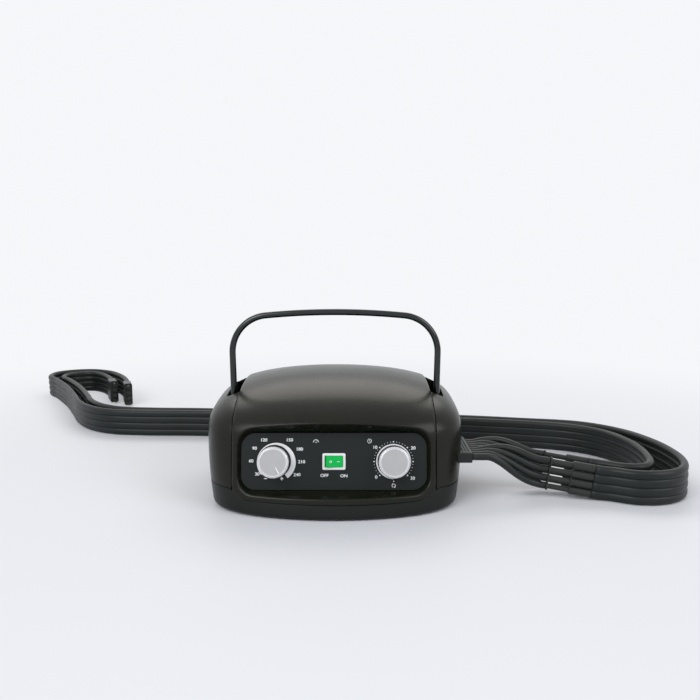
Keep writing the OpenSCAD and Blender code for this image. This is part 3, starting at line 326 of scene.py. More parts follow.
def trim(piece, spot, way):
    """Cuts a solid off at a plane and closes the cut."""
    pick(piece)
    bpy.ops.object.mode_set(mode="EDIT")
    bpy.ops.mesh.select_all(action="SELECT")
    bpy.ops.mesh.bisect(plane_co=spot, plane_no=way, use_fill=True, clear_outer=True)
    bpy.ops.object.mode_set(mode="OBJECT")


def skin_tree(piece):
    """The piece's surface, to look up the nearest place on it."""
    return BVHTree.FromPolygons([v.co.copy() for v in piece.data.vertices],
                                [tuple(p.vertices) for p in piece.data.polygons])


def rounded_outline(width, height, corner, gap):
    """Points round a rounded rectangle, counter-clockwise, no further apart than the gap."""
    points = []
    for k, (sx, sy) in enumerate([(1, 1), (-1, 1), (-1, -1), (1, -1)]):
        mid = Vector((sx * (width / 2 - corner), sy * (height / 2 - corner)))
        steps = max(3, math.ceil(corner * math.pi / 2 / gap))
        for i in range(steps + 1):
            a = math.pi / 2 * (k + i / steps)
            points.append(mid + corner * Vector((math.cos(a), math.sin(a))))
        run = (height - 2 * corner) if k % 2 else (width - 2 * corner)
        pieces = max(1, math.ceil(run / gap))
        way = Vector([(-1, 0), (0, -1), (1, 0), (0, 1)][k])
        points += [points[-1] + way * run * i / pieces for i in range(1, pieces)]
    return points


def recess_tool(name, ring, ways, skin, rolls_in, rolls_out=None):
    """A cutter that rises from a ring of floor points to the skin and rolls over onto it.
    The roll is one size all round, or a list with a size for each point."""
    count = len(ring)
    rolls_in = rolls_in if isinstance(rolls_in, list) else [rolls_in] * count
    rolls_out = rolls_out or rolls_in
    mid = sum(ring, Vector()) / count
    out = sum(ways, Vector()).normalized()
    hits = [skin.ray_cast(p, w) for p, w in zip(ring, ways)]
    spots = [h[0] for h in hits]
    facing = [h[1] if h[1].dot(w) > 0 else -h[1] for h, w in zip(hits, ways)]
    facing = [sum((facing[(i + k) % count] for k in range(-3, 4)), Vector()).normalized()
              for i in range(count)]
    levels = [ring]
    rolls = [[] for _ in range(9)]
    flange = []
    for i in range(count):
        side = (ring[(i + 1) % count] - ring[i - 1]).cross(ways[i])
        if side.dot(ring[i] - mid) < 0:
            side = -side
        over = (side - side.dot(facing[i]) * facing[i]).normalized()
        start = spots[i] - rolls_in[i] * ways[i]
        end = skin.find_nearest(spots[i] + rolls_out[i] * over)[0] - 0.00004 * facing[i]
        for k in range(9):
            f = k / 8
            rolls[k].append((1 - f) ** 2 * start + 2 * f * (1 - f) * spots[i] + f * f * end)
        flange.append(end + 0.0005 * over + 0.0004 * facing[i])
    top = max(p.dot(out) for p in flange) + 0.003
    levels += rolls + [flange, [p + (top - p.dot(out)) * out for p in flange]]
    return ring_solid(name, mid, levels, mid + (top - mid.dot(out)) * out)


def parting(x):
    """Height of the parting line: it drops in a soft step under the control panel."""
    f = max(0.0, min(1.0, (saddle_half + 0.005 - abs(x)) / 0.018))
    return 0.022 - 0.008 * f * f * (3 - 2 * f)


def below_parting(name, shift):
    """Everything that lies below the parting line."""
    bpy.ops.mesh.primitive_grid_add(x_subdivisions=140, y_subdivisions=1, size=0.28)
    block = bpy.context.object
    block.name = name
    bpy.ops.object.mode_set(mode="EDIT")
    bpy.ops.mesh.select_all(action="SELECT")
    bpy.ops.mesh.extrude_region_move(TRANSFORM_OT_translate={"value": (0, 0, 0.05)})
    bpy.ops.mesh.select_all(action="SELECT")
    bpy.ops.mesh.normals_make_consistent(inside=False)
    bpy.ops.object.mode_set(mode="OBJECT")
    for corner in block.data.vertices:
        corner.co.z = parting(corner.co.x) + shift if corner.co.z > 0.02 else -0.02
    return block


def soften_saddle(piece, skin, edge, radius):
    """Rounds the long edge of a cover that runs over the top at a distance from the middle."""
    inward = -1 if edge == saddle_half else 1
    pick(piece)
    bpy.ops.object.mode_set(mode="EDIT")
    for side in (-1, 1):
        for share in (1, 0.62, 0.32, 0.12):
            bpy.ops.mesh.select_all(action="SELECT")
            spot = (side * (edge + inward * radius * share), 0, 0)
            bpy.ops.mesh.bisect(plane_co=spot, plane_no=(1, 0, 0))
    bpy.ops.object.mode_set(mode="OBJECT")
    for corner in piece.data.vertices:
        depth = (abs(corner.co.x) - edge) * inward
        if -0.00001 <= depth < radius:
            spot, facing, _, far = skin.find_nearest(corner.co)
            if far < 0.00005:
                down = Vector((0, facing.y, facing.z)).normalized()
                corner.co -= down * (radius - math.sqrt(max(0.0, radius**2 - (radius - depth) ** 2)))


def soften_parting(piece, skin, shift, radius):
    """Rounds a cover's edge at the parting line; the radius is negative below the line."""
    for corner in piece.data.vertices:
        corner.co.z -= parting(corner.co.x) + shift
    pick(piece)
    bpy.ops.object.mode_set(mode="EDIT")
    for share in (1, 0.62, 0.32, 0.12):
        bpy.ops.mesh.select_all(action="SELECT")
        bpy.ops.mesh.bisect(plane_co=(0, 0, radius * share), plane_no=(0, 0, 1))
    bpy.ops.object.mode_set(mode="OBJECT")
    for corner in piece.data.vertices:
        depth = corner.co.z if radius > 0 else -corner.co.z
        corner.co.z += parting(corner.co.x) + shift
        if -0.00001 <= depth < abs(radius):
            spot, facing, _, far = skin.find_nearest(corner.co)
            if far < 0.00005:
                inward = Vector((facing.x, facing.y, 0)).normalized()
                rest = math.sqrt(max(0.0, radius**2 - (abs(radius) - depth) ** 2))
                corner.co -= inward * (abs(radius) - rest)


def box_tool(name, low, high):
    """A plain block between two corners, to cut with or to join on."""
    bpy.ops.mesh.primitive_cube_add(size=1)
    block = bpy.context.object
    block.name = name
    for corner in block.data.vertices:
        corner.co = [a + (c + 0.5) * (b - a) for c, a, b in zip(corner.co, low, high)]
    return block


def upright_tool(name, outline, spot, low, high):
    """An outline in plan, raised between two heights."""
    rings = [[Vector((spot[0] + p.x, spot[1] + p.y, z)) for p in outline] for z in (low, high)]
    return ring_solid(name, Vector((spot[0], spot[1], low)), rings, Vector((spot[0], spot[1], high)))


# Sloping control panel: a place across it, up it and out of it
panel_spot = Vector((0, -0.0735, 0.046))
panel_tilt = math.radians(12.4)
panel_out = Vector((0, -math.cos(panel_tilt), math.sin(panel_tilt)))
panel_up = Vector((0, math.sin(panel_tilt), math.cos(panel_tilt)))


def on_panel(x, up, out):
    return panel_spot + Vector((x, 0, 0)) + up * panel_up + out * panel_out


def panel_tool(name, outline, low, high, x=0):
    """An outline on the panel, raised between two heights out of it, with its middle at x."""
    rings = [[on_panel(p.x, p.y, out) for p in outline] for out in (low, high)]
    return ring_solid(name, on_panel(x, 0, low), rings, on_panel(x, 0, high))


# Centre cover: the skin and the raised frame round the plate, with its front edge rounded
saddle = housing_form("centre_cover_skin", 0)
frame_r = 0.0012
frame_edge = rounded_outline(0.168 + 0.0092, 0.051 + 0.0092, 0.0176, 0.003)
seat_size = (0.1686, 0.0516, 0.013)
frame_rings = []
for turn, height in [(0, -0.014), (0, 0.003 - frame_r), (27, 0), (54, 0), (90, 0)]:
    drawn_in = frame_r * (1 - math.cos(math.radians(turn)))
    height = height or 0.003 - frame_r + frame_r * math.sin(math.radians(turn))
    ring = []
    for i, p in enumerate(frame_edge):
        along = (frame_edge[(i + 1) % len(frame_edge)] - frame_edge[i - 1]).normalized()
        ring.append(on_panel(p.x - drawn_in * along.y, p.y + drawn_in * along.x, height))
    frame_rings.append(ring)
bezel = ring_solid("panel_frame", on_panel(0, 0, -0.014), frame_rings, on_panel(0, 0, 0.003))
carve(saddle, bezel, "UNION")
outer_skin = skin_tree(saddle)
for side in (-1, 1):
    trim(saddle, (side * saddle_half, 0, 0), (side, 0, 0))
carve(saddle, below_parting("cut_parting", reveal))
soften_saddle(saddle, outer_skin, saddle_half, 0.0018)
soften_parting(saddle, outer_skin, reveal, 0.0006)

# Its inside: full width below the bulkhead, and between the side walls above it
inlet_spot = Vector((-0.062, 0.098, 0.040))
for low_part in (True, False):
    room = housing_form("room", wall)
    trim(room, on_panel(0, 0, -0.0045), panel_out)
    if low_part:
        trim(room, (0, 0, 0.068), (0, 0, 1))
    else:
        for side in (-1, 1):
            trim(room, (side * (saddle_half - wall), 0, 0), (side, 0, 0))
    carve(room, box_tool("inlet_pad", (-0.0825, 0.0955, 0.023), (-0.0415, 0.12, 0.057)))
    carve(saddle, room)

# Opening in front of the plate, flared under the brow and over the ledge, and the plate's seat
pocket_edge = rounded_outline(*seat_size, 0.002)
pocket_ring = []
pocket_ways = []
pocket_in = []
pocket_out = []
for p in pocket_edge:
    endward = min(1.0, max(0.0, (abs(p.x) - 0.0713) / 0.013))
    upward = min(1.0, max(0.0, (abs(p.y) - 0.0128) / 0.013))
    turn_x = math.copysign(math.tan(math.radians(33)) * endward, p.x)
    turn_y = (math.tan(math.radians(26)) if p.y > 0 else -math.tan(math.radians(13))) * upward
    foot = on_panel(p.x, p.y, -0.0005)
    pocket_ring.append(foot)
    pocket_ways.append((on_panel(p.x + turn_x, p.y + turn_y, 0.9995) - foot).normalized())
    low_edge = upward if p.y < 0 else 0
    pocket_in.append(0.0015 + 0.0009 * endward * (1 - low_edge) + 0.0075 * low_edge * (1 - endward))
    pocket_out.append(0.0015 + 0.0009 * endward + 0.0008 * low_edge)
carve(saddle, recess_tool("pocket", pocket_ring, pocket_ways, outer_skin, pocket_in, pocket_out))
carve(saddle, panel_tool("plate_seat", rounded_outline(*seat_size, 0.003), -0.002, 0.0001))
for x, width, height, corner in [(-0.054, 0.0104, 0.0104, 0.0051), (0.054, 0.0104, 0.0104, 0.0051),
                                 (0, 0.019, 0.013, 0.0005)]:
    hole = [p + Vector((x, 0)) for p in rounded_outline(width, height, corner, 0.0015)]
    carve(saddle, panel_tool("panel_hole", hole, -0.0065, -0.001, x))

# Vents and the mains inlet's recess in the back
for i in range(9):
    spot = Vector((0.030 + (i - 4) * 0.007, 0.097, 0.056))
    slot = [spot + Vector((p.x, 0, p.y)) for p in rounded_outline(0.003, 0.024, 0.0014, 0.002)]
    carve(saddle, recess_tool("vent", slot, [Vector((0, 1, 0))] * len(slot), outer_skin, 0.0004))
recess = [inlet_spot + Vector((p.x, 0, p.y)) for p in rounded_outline(0.0356, 0.0286, 0.0008, 0.002)]
carve(saddle, recess_tool("inlet_recess", recess, [Vector((0, 1, 0))] * len(recess), outer_skin, 0.0007))
carve(saddle, box_tool("inlet_hole", (-0.0757, 0.088, 0.0298), (-0.0483, 0.0985, 0.0502)))

# Holes for the pins that carry the handle, through the cover's side walls
pivot_spot = Vector((0, -0.0085, 0.086))
pin_d = 0.0041


def pin_tool(name, low, high):
    """A bore along X on the handle's axis."""
    edge = rounded_outline(pin_d, pin_d, pin_d / 2 - 0.00001, 0.0012)
    circle = [pivot_spot + Vector((0, p.x, p.y)) for p in edge]
    rings = [[Vector((x, p.y, p.z)) for p in circle] for x in (low, high)]
    return ring_solid(name, pivot_spot + Vector((low, 0, 0)), rings,
                      pivot_spot + Vector((high, 0, 0)))


for side in (-1, 1):
    carve(saddle, pin_tool("pin_hole", *sorted((side * 0.086, side * 0.0945))))


def finish_shell(piece, body, node, material):
    """Smooths a finished shell, gives it its plastic and hands it over."""
    piece.data.materials.clear()
    piece.data.materials.append(material)
    pick(piece)
    bpy.ops.object.shade_smooth_by_angle(angle=math.radians(32))
    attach(piece, body)
    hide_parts(node)


finish_shell(saddle, "housing", "centre_cover", olive_abs)

# Side covers: each has an open well beside the saddle, in which a leg of the handle stands
well_x = saddle_half + reveal
well_w = 0.0126
well_mid_y = -0.0171 + 0.042
plug_front = 0.022
plug_z = 0.043
well_outline = rounded_outline(2 * well_w, 0.084, 0.004, 0.0015)
cheek_skin_form = housing_form("cheek_skin", cheek_step)
cheek_skin = skin_tree(cheek_skin_form)
bpy.data.objects.remove(cheek_skin_form)
for side, name in [(1, "right"), (-1, "left")]:
    cheek = housing_form(f"side_cover_{name}_skin", cheek_step)
    trim(cheek, (side * well_x, 0, 0), (-side, 0, 0))
    carve(cheek, below_parting("cut_parting", reveal))
    soften_saddle(cheek, cheek_skin, well_x, 0.0005)
    soften_parting(cheek, cheek_skin, reveal, 0.0006)
    inside = housing_form("inside", cheek_step + wall)
    well_block = rounded_outline(2 * well_w + 0.004, 0.088, 0.006, 0.003)
    carve(inside, upright_tool("well_block", well_block, (side * well_x, well_mid_y), 0.075, 0.14))
    if side > 0:
        collar = rounded_outline(0.067, 0.016, 0.004, 0.003)
        rings = [[Vector((x, p.x - plug_front, plug_z + p.y)) for p in collar] for x in (0.104, 0.14)]
        carve(inside, ring_solid("collar_block", Vector((0.104, -plug_front, plug_z)), rings,
                                 Vector((0.14, -plug_front, plug_z))))
    carve(cheek, inside)
    floor = [Vector((side * well_x + p.x, well_mid_y + p.y, 0.077)) for p in well_outline]
    carve(cheek, recess_tool("well", floor, [Vector((0, 0, 1))] * len(floor), cheek_skin, 0.0012))
    carve(cheek, pin_tool("pin_hole", *sorted((side * 0.090, side * 0.1065))))
    if side > 0:
        mouth = rounded_outline(0.0618, 0.0108, 0.0024, 0.0015)
        mouth = [Vector((0.095, p.x - plug_front, plug_z + p.y)) for p in mouth]
        carve(cheek, recess_tool("socket", mouth, [Vector((1, 0, 0))] * len(mouth), cheek_skin, 0.0009))
    finish_shell(cheek, "housing", f"side_cover_{name}", olive_abs)

# Base: a shallow tray on rubber feet, with the case screws sunk in its posts
tray = housing_form("base_skin", cheek_step)
lid = box_tool("above", (-0.2, -0.2, -0.05), (0.2, 0.2, 0.2))
carve(lid, below_parting("cut_parting", 0))
carve(tray, lid)
soften_parting(tray, cheek_skin, 0, -0.0006)
carve(tray, housing_form("inside", cheek_step + wall))
for x in range(-3, 4):
    slot = rounded_outline(0.003, 0.030, 0.0014, 0.002)
    carve(tray, upright_tool("vent", slot, (-0.034 + x * 0.009, 0.030), -0.002, 0.006))
posts = [(-0.080, 0.066), (0.080, 0.066), (-0.078, -0.056), (0.078, -0.056),
         (-0.101, 0.020), (-0.101, 0.062), (0.101, 0.020), (0.101, 0.062)]
post_edge = rounded_outline(0.008, 0.008, 0.00399, 0.0016)
recess_edge = rounded_outline(0.0064, 0.0064, 0.00319, 0.0012)
hole_edge = rounded_outline(0.0034, 0.0034, 0.00169, 0.001)
for post in posts:
    carve(tray, upright_tool("post", post_edge, post, 0.002, 0.0135), "UNION")
    carve(tray, upright_tool("screw_recess", recess_edge, post, -0.002, 0.005))
    carve(tray, upright_tool("screw_hole", hole_edge, post, 0.004, 0.02))
foot_edge = rounded_outline(0.0051, 0.0051, 0.00254, 0.001)
for foot in [(-0.064, -0.070), (0.064, -0.070), (-0.064, 0.082), (0.064, 0.082)]:
    carve(tray, upright_tool("foot_hole", foot_edge, foot, -0.002, 0.011))
finish_shell(tray, "housing", "base_shell", grey_abs)


# ---------------------------------------------------------------- control plate
# A dark plate with rounded corners lies in the pocket, over the switch and the two controls.
# Its scales are screen-printed in white: dots and plain numbers round each knob, small
# pictograms of a gauge and a clock above them, and OFF and ON under the switch.

plate_black = surface_material("plate_plastic", (0.0085, 0.0125, 0.0118), 0.40, 0.0004, 0.00003)


def node_finish(node, material):
    """Gives a carried-over CAD node its own finish."""
    for place in bpy.data.objects[node].material_slots:
        place.material = material


node_finish("control_plate", plate_black)

white_ink = surface_material("white_ink", (0.93, 0.94, 0.95), 0.5, 0.0003, 0.00001)
ink_t = 0.00006
prints = []


def lay_print(piece, x, up):
    """Lays a flat piece, modelled about its own middle, on the plate."""
    for corner in piece.data.vertices:
        place = corner.co.copy()
        corner.co = on_panel(x + place.x, up + place.y, place.z)
    piece.data.materials.clear()
    piece.data.materials.append(white_ink)
    prints.append(piece)


def print_words(words, x, up, height, weight):
    """Printed characters of a given height, centred on a place on the plate."""
    bpy.ops.object.text_add()
    line = bpy.context.object
    line.data.body = words
    line.data.size = 0.01
    line.data.offset = weight
    line.data.extrude = 0.0001
    pick(line)
    bpy.ops.object.convert(target="MESH")
    line = bpy.context.object
    corners = [v.co.copy() for v in line.data.vertices]
    low = Vector([min(c[i] for c in corners) for i in range(3)])
    high = Vector([max(c[i] for c in corners) for i in range(3)])
    size = height / (high.y - low.y)
    for corner in line.data.vertices:
        flat = (corner.co - (low + high) / 2) * size
        corner.co = Vector((flat.x * 1.1, flat.y, ink_t if flat.z > 0 else -ink_t))
    lay_print(line, x, up)


def print_band(name, x, up, start, end, inner, outer, steps):
    """A printed band round a place, from one bearing to another, clockwise from straight up.
    Its inner and outer radius are given for each bearing."""
    bpy.ops.mesh.primitive_grid_add(x_subdivisions=steps, y_subdivisions=1, size=1)
    band = bpy.context.object
    band.name = name
    bpy.ops.object.mode_set(mode="EDIT")
    bpy.ops.mesh.select_all(action="SELECT")
    bpy.ops.mesh.extrude_region_move(TRANSFORM_OT_translate={"value": (0, 0, 1)})
    bpy.ops.object.mode_set(mode="OBJECT")
    for corner in band.data.vertices:
        bearing = start + (corner.co.x + 0.5) * (end - start)
        radius = outer(bearing) if corner.co.y > 0 else inner(bearing)
        a = math.radians(bearing)
        height = ink_t if corner.co.z > 0.5 else -ink_t
        corner.co = Vector((radius * math.sin(a), radius * math.cos(a), height))
    pick(band)
    bpy.ops.object.mode_set(mode="EDIT")
    bpy.ops.mesh.select_all(action="SELECT")
    bpy.ops.mesh.remove_doubles(threshold=0.00001)
    bpy.ops.mesh.normals_make_consistent(inside=False)
    bpy.ops.object.mode_set(mode="OBJECT")
    lay_print(band, x, up)


def print_dot(x, up, diameter):
    """A round printed dot."""
    print_band("dot", x, up, 0, 360, lambda b: diameter * 0.1, lambda b: diameter / 2, 20)
    print_band("dot_middle", x, up, 0, 360, lambda b: 0.0, lambda b: diameter * 0.11, 8)


# Pressure scale: a wedge that widens round the knob, with numbers from 30 to 240
knob_x = 0.054
digit_h = 0.0029
digit_weight = 0.00022
for label, x, up in [("30", -0.0694, -0.0112), ("60", -0.0750, 0.0006), ("90", -0.0720, 0.0119),
                     ("120", -0.0633, 0.0194), ("150", -0.0400, 0.0194), ("180", -0.0309, 0.0112),
                     ("210", -0.0293, -0.0002), ("240", -0.0334, -0.0118)]:
    print_words(label, x, up, digit_h, digit_weight)


def wedge_edge(bearing):
    """Outer edge of the wedge: a circle set off to the right and down."""
    a = math.radians(bearing)
    way = Vector((math.sin(a), math.cos(a)))
    off = Vector((0.0017, -0.0008))
    along = way.dot(off)
    return along + math.sqrt(along * along - off.dot(off) + 0.0176**2)


print_band("pressure_wedge", -knob_x, 0, -135, 141, lambda b: 0.0150,
           lambda b: max(0.0153, wedge_edge(b)), 90)


def print_bar(name, x, up, width, height):
    """A printed stroke with clipped corners."""
    bpy.ops.mesh.primitive_cube_add(size=1)
    bar = bpy.context.object
    bar.name = name
    for corner in bar.data.vertices:
        corner.co = Vector((corner.co.x * width, corner.co.y * height, corner.co.z * 2 * ink_t))
    pick(bar)
    soft = bar.modifiers.new("corners", "BEVEL")
    soft.width = min(width, height) * 0.2
    soft.segments = 1
    soft.limit_method = "ANGLE"
    bpy.ops.object.modifier_apply(modifier=soft.name)
    lay_print(bar, x, up)


print_bar("minus_sign", -0.0618, -0.0153, 0.0030, 0.0009)
print_bar("plus_sign_flat", -0.0472, -0.0153, 0.0030, 0.0009)
print_bar("plus_sign_upper", -0.0472, -0.01425, 0.0009, 0.0012)
print_bar("plus_sign_lower", -0.0472, -0.01635, 0.0009, 0.0012)

# Gauge pictogram: an arc over a needle
gauge = (-0.0164, 0.0172)
print_band("gauge_arc", *gauge, -90, 90, lambda b: 0.0021, lambda b: 0.0026, 24)
print_band("gauge_needle", *gauge, 26, 34, lambda b: 0.0004, lambda b: 0.0019, 2)
print_dot(*gauge, 0.0009)

# Timer scale: an open ring with a start dot, dots for the minutes, and numbers up to 30
for label, x, up in [("0", 0.0382, -0.0139), ("10", 0.0376, 0.0128), ("20", 0.0718, 0.0122),
                     ("30", 0.0712, -0.0149)]:
    print_words(label, x, up, digit_h, digit_weight)
print_band("time_ring", knob_x, 0, -180, 133, lambda b: 0.0145, lambda b: 0.0158, 110)
dots_r = 0.0177
for step in range(31):
    bearing = math.radians(-135 + 9 * step)
    print_dot(knob_x + dots_r * math.sin(bearing), dots_r * math.cos(bearing),
              0.0006 if step % 5 else 0.00125)
print_dot(knob_x, -0.0178, 0.0012)

# Cycle pictogram under the timer: two arrows round a ring
for turn in (0, 180):
    print_band("cycle_arc", knob_x, -0.0216, turn + 20, turn + 140,
               lambda b: 0.0013, lambda b: 0.0018, 16)
    print_band("cycle_arrow", knob_x, -0.0216, turn + 138, turn + 178,
               lambda b: 0.00155 - 0.00085 * (1 - ((b - 138) % 180) / 40),
               lambda b: 0.00155 + 0.00085 * (1 - ((b - 138) % 180) / 40), 4)

# Clock pictogram: a ring with two hands
print_band("clock_ring", 0.0322, 0.0184, 0, 359.9, lambda b: 0.00155, lambda b: 0.0020, 28)
print_bar("clock_hand_up", 0.0322, 0.0189, 0.0004, 0.0011)
print_bar("clock_hand_right", 0.0327, 0.0182, 0.0009, 0.0004)

print_words("OFF", -0.0086, -0.0125, 0.0028, 0.00016)
print_words("ON", 0.0090, -0.0128, 0.0028, 0.00016)

bpy.ops.object.select_all(action="DESELECT")
for piece in prints:
    piece.select_set(True)
bpy.context.view_layer.objects.active = prints[0]
bpy.ops.object.join()
panel_print = bpy.context.object
panel_print.name = "panel_print"
bpy.ops.object.transform_apply(location=True, rotation=True, scale=True)
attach(panel_print, "housing")


# ---------------------------------------------------------------- knobs
# Each knob is moulded with a black skirt and scallops round its side, sprayed silver above the
# skirt, and closed by a cap with a chamfered rim. The skirt's near-black is partly its own black and
# partly painted shade for the gap round the knob's foot. The chamfered rims of knob and cap are a lighter
# silver, a painted highlight. A groove in the cap is its pointer: filled with white on the pressure knob,
# bare on the timer.

knob_gap = 0.001
scallops = 24
round_steps = scallops * 12


def spun_material(name, color, metal, gloss, side):
    """Silver paint with fine rings turned round a knob's middle."""
    material, tree, shader, place = clouded_shader(
        name, color, {"Scale": 160, "Detail": 4}, [(0.3, 0.98), (0.7, 1.02)],
        (gloss - 0.04, gloss + 0.06))
    centre = tree.nodes.new("ShaderNodeMapping")
    centre.vector_type = "TEXTURE"
    centre.inputs["Location"].default_value = on_panel(side * knob_x, 0, 0)
    centre.inputs["Rotation"].default_value = (math.pi / 2 - panel_tilt, 0, 0)
    flat = tree.nodes.new("ShaderNodeVectorMath")
    flat.operation = "MULTIPLY"
    flat.inputs[1].default_value = (1, 1, 0)
    radius = tree.nodes.new("ShaderNodeVectorMath")
    radius.operation = "LENGTH"
    rings = tree.nodes.new("ShaderNodeTexNoise")
    rings.noise_dimensions = "1D"
    rings.inputs["Scale"].default_value = 5200
    rings.inputs["Detail"].default_value = 2
    tree.links.new(place.outputs["Object"], centre.inputs["Vector"])
    tree.links.new(centre.outputs["Vector"], flat.inputs[0])
    tree.links.new(flat.outputs["Vector"], radius.inputs[0])
    tree.links.new(radius.outputs["Value"], rings.inputs["W"])
    raise_grain(tree, shader, rings, 0.06, 0.00001)
    shader.inputs["Metallic"].default_value = metal
    return material


# Near-black skirt: partly the knob's own black moulding, partly painted shade for the gap round its foot.
skirt_black_painted_shade = surface_material("knob_skirt_painted_shade", (0.004, 0.004, 0.004), 0.45, 0.0004, 0.00002)


def knob_ring(side, radius, depth, out):
    """Points round a knob, scalloped to a depth."""
    ring = []
    for i in range(round_steps):
        a = 2 * math.pi * i / round_steps
        dip = depth * abs(math.sin(scallops / 2 * a)) ** 0.9
        ring.append(on_panel(side * knob_x + (radius - dip) * math.cos(a),
                             (radius - dip) * math.sin(a), out))
    return ring


for side, name, bearing in [(-1, "pressure", 150), (1, "time", 8)]:
    turn_body = f"{name}_control"
    silver = spun_material(f"{name}_silver_paint", (0.47, 0.465, 0.475), 0.25, 0.38, side)
    # A lighter copy of the silver paint for the chamfered rims: a painted highlight.
    rim_highlight_paint = spun_material(f"{name}_rim_painted_highlight", (0.80, 0.80, 0.82), 0.30, 0.26, side)
    profile = [
        (0.0142, 0, 0.0), (0.0146, 0, 0.0002), (0.0146, 0, 0.0008), (0.0145, 0, 0.0010),
        (0.0136, 0, 0.0012), (0.0136, 0.0003, 0.0016), (0.0136, 0.0007, 0.0021),
        (0.01365, 0.0009, 0.0030), (0.0139, 0.0009, 0.0104), (0.01395, 0.0007, 0.0114),
        (0.0140, 0.0003, 0.0121), (0.0141, 0, 0.0126), (0.0139, 0, 0.0134),
        (0.0134, 0, 0.0140), (0.0131, 0, 0.01415), (0.0129, 0, 0.0140), (0.0128, 0, 0.0136)]
    rings = [knob_ring(side, r, depth, knob_gap + z) for r, depth, z in profile]
    knob = ring_solid(f"{name}_knob_skin", on_panel(side * knob_x, 0, knob_gap), rings,
                      on_panel(side * knob_x, 0, knob_gap + 0.0136))
    knob.data.materials.append(skirt_black_painted_shade)
    knob.data.materials.append(silver)
    knob.data.materials.append(rim_highlight_paint)
    # Faces at the foot take the skirt's painted shade, faces at the top the rim's painted highlight, the rest
    # silver.
    for face in knob.data.polygons:
        height = (face.center - on_panel(0, 0, knob_gap)).dot(panel_out)
        face.material_index = 0 if height < 0.0014 else 2 if height > 0.0129 else 1
    pick(knob)
    bpy.ops.object.shade_smooth_by_angle(angle=math.radians(40))
    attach(knob, turn_body)
    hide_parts(f"{name}_knob")

    cap_profile = [(0.01275, 0.0132), (0.01275, 0.0141), (0.0126, 0.0144), (0.0123, 0.01456),
                   (0.0120, 0.0146), (0.0118, 0.01452), (0.0115, 0.0145), (0.0080, 0.01452),
                   (0.0040, 0.01455)]
    rings = [knob_ring(side, r, 0, knob_gap + z) for r, z in cap_profile]
    cap = ring_solid(f"{name}_knob_cap_skin", on_panel(side * knob_x, 0, knob_gap + 0.0132), rings,
                     on_panel(side * knob_x, 0, knob_gap + 0.01455))
    a = math.radians(bearing)
    along = Vector((math.sin(a), math.cos(a)))
    beside = Vector((along.y, -along.x))
    low, start, end = 0.0141, 0.0046, 0.0109
    for tool_name, high in [("pointer_groove", 0.0155), ("pointer_paint", 0.0144)]:
        strip = box_tool(tool_name, (0, -0.5, 0), (1, 0.5, 1))
        for corner in strip.data.vertices:
            run = start + corner.co.x * (end - start)
            half = 0.00030 + 0.00032 * corner.co.x - (0.00001 if tool_name == "pointer_paint" else 0)
            spot = run * along + 2 * corner.co.y * half * beside
            out = knob_gap + low + corner.co.z * (high - low)
            corner.co = on_panel(side * knob_x + spot.x, spot.y, out)
        face_outwards(strip)
        if tool_name == "pointer_groove":
            carve(cap, strip)
        else:
            strip.name = f"{name}_pointer_paint"
            strip.data.materials.append(white_ink if side < 0 else silver)
            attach(strip, turn_body)
    cap.data.materials.clear()
    cap.data.materials.append(silver)
    cap.data.materials.append(rim_highlight_paint)
    # The cap's outer chamfer takes the rim's painted highlight, its face the plain silver.
    for face in cap.data.polygons:
        reach = face.center - on_panel(side * knob_x, 0, knob_gap)
        face.material_index = 1 if (reach - reach.dot(panel_out) * panel_out).length > 0.0117 else 0
    pick(cap)
    bpy.ops.object.shade_smooth_by_angle(angle=math.radians(40))
    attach(cap, turn_body)
    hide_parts(f"{name}_knob_cap")


# ---------------------------------------------------------------- switch
# A common snap-in rocker switch: a white nylon case with a wide bezel, and a clear green
# rocker with a neon lamp under it. O and I are printed in white on its two faces.

white_abs = surface_material("switch_white", (0.86, 0.86, 0.86), 0.34, 0.0004, 0.00002)
green_clear = surface_material("rocker_green", (0.0005, 0.33, 0.055), 0.24, 0.0008, 0.00002)
green_shader = green_clear.node_tree.nodes["Principled BSDF"]
green_shader.inputs["Emission Color"].default_value = (0.0, 0.50, 0.08, 1)
green_shader.inputs["Emission Strength"].default_value = 0.3

bezel_rings = []
bezel_edge = rounded_outline(0.021, 0.015, 0.0013, 0.0008)
for drawn_in, out in [(0, 0.00005), (0, 0.0012), (0.00012, 0.0015), (0.0004, 0.0017), (0.0008, 0.0018)]:
    bezel_rings.append([on_panel(p.x * (1 - drawn_in / 0.0105), p.y * (1 - drawn_in / 0.0075), out)
                        for p in bezel_edge])
switch_case = ring_solid("switch_case_skin", on_panel(0, 0, 0.00005), bezel_rings, on_panel(0, 0, 0.0018))
body_edge = rounded_outline(0.0186, 0.0126, 0.0004, 0.002)
carve(switch_case, panel_tool("switch_body", body_edge, -0.017, 0.0006), "UNION")
for x in (-0.006, 0, 0.006):
    blade = [p + Vector((x, 0)) for p in rounded_outline(0.0008, 0.0048, 0.0003, 0.001)]
    carve(switch_case, panel_tool("blade", blade, -0.023, -0.0165, x), "UNION")
window = rounded_outline(0.0166, 0.0104, 0.0006, 0.0008)
window_rings = [[on_panel(p.x * k, p.y * k, out) for p in window]
                for k, out in [(1, -0.009), (1, 0.0013), (1.015, 0.0016), (1.05, 0.0018), (1.05, 0.004)]]
carve(switch_case, ring_solid("window", on_panel(0, 0, -0.009), window_rings, on_panel(0, 0, 0.004)))
rocker_pivot = -0.0022
axle_edge = rounded_outline(0.0016, 0.0016, 0.00079, 0.0004)
axle = ring_solid("axle", on_panel(0, -0.0059, rocker_pivot),
                  [[on_panel(p.x, up, rocker_pivot + p.y) for p in axle_edge]
                   for up in (-0.0059, 0.0059)], on_panel(0, 0.0059, rocker_pivot))
carve(switch_case, axle, "UNION")
finish_shell(switch_case, "housing", "switch_case", white_abs)

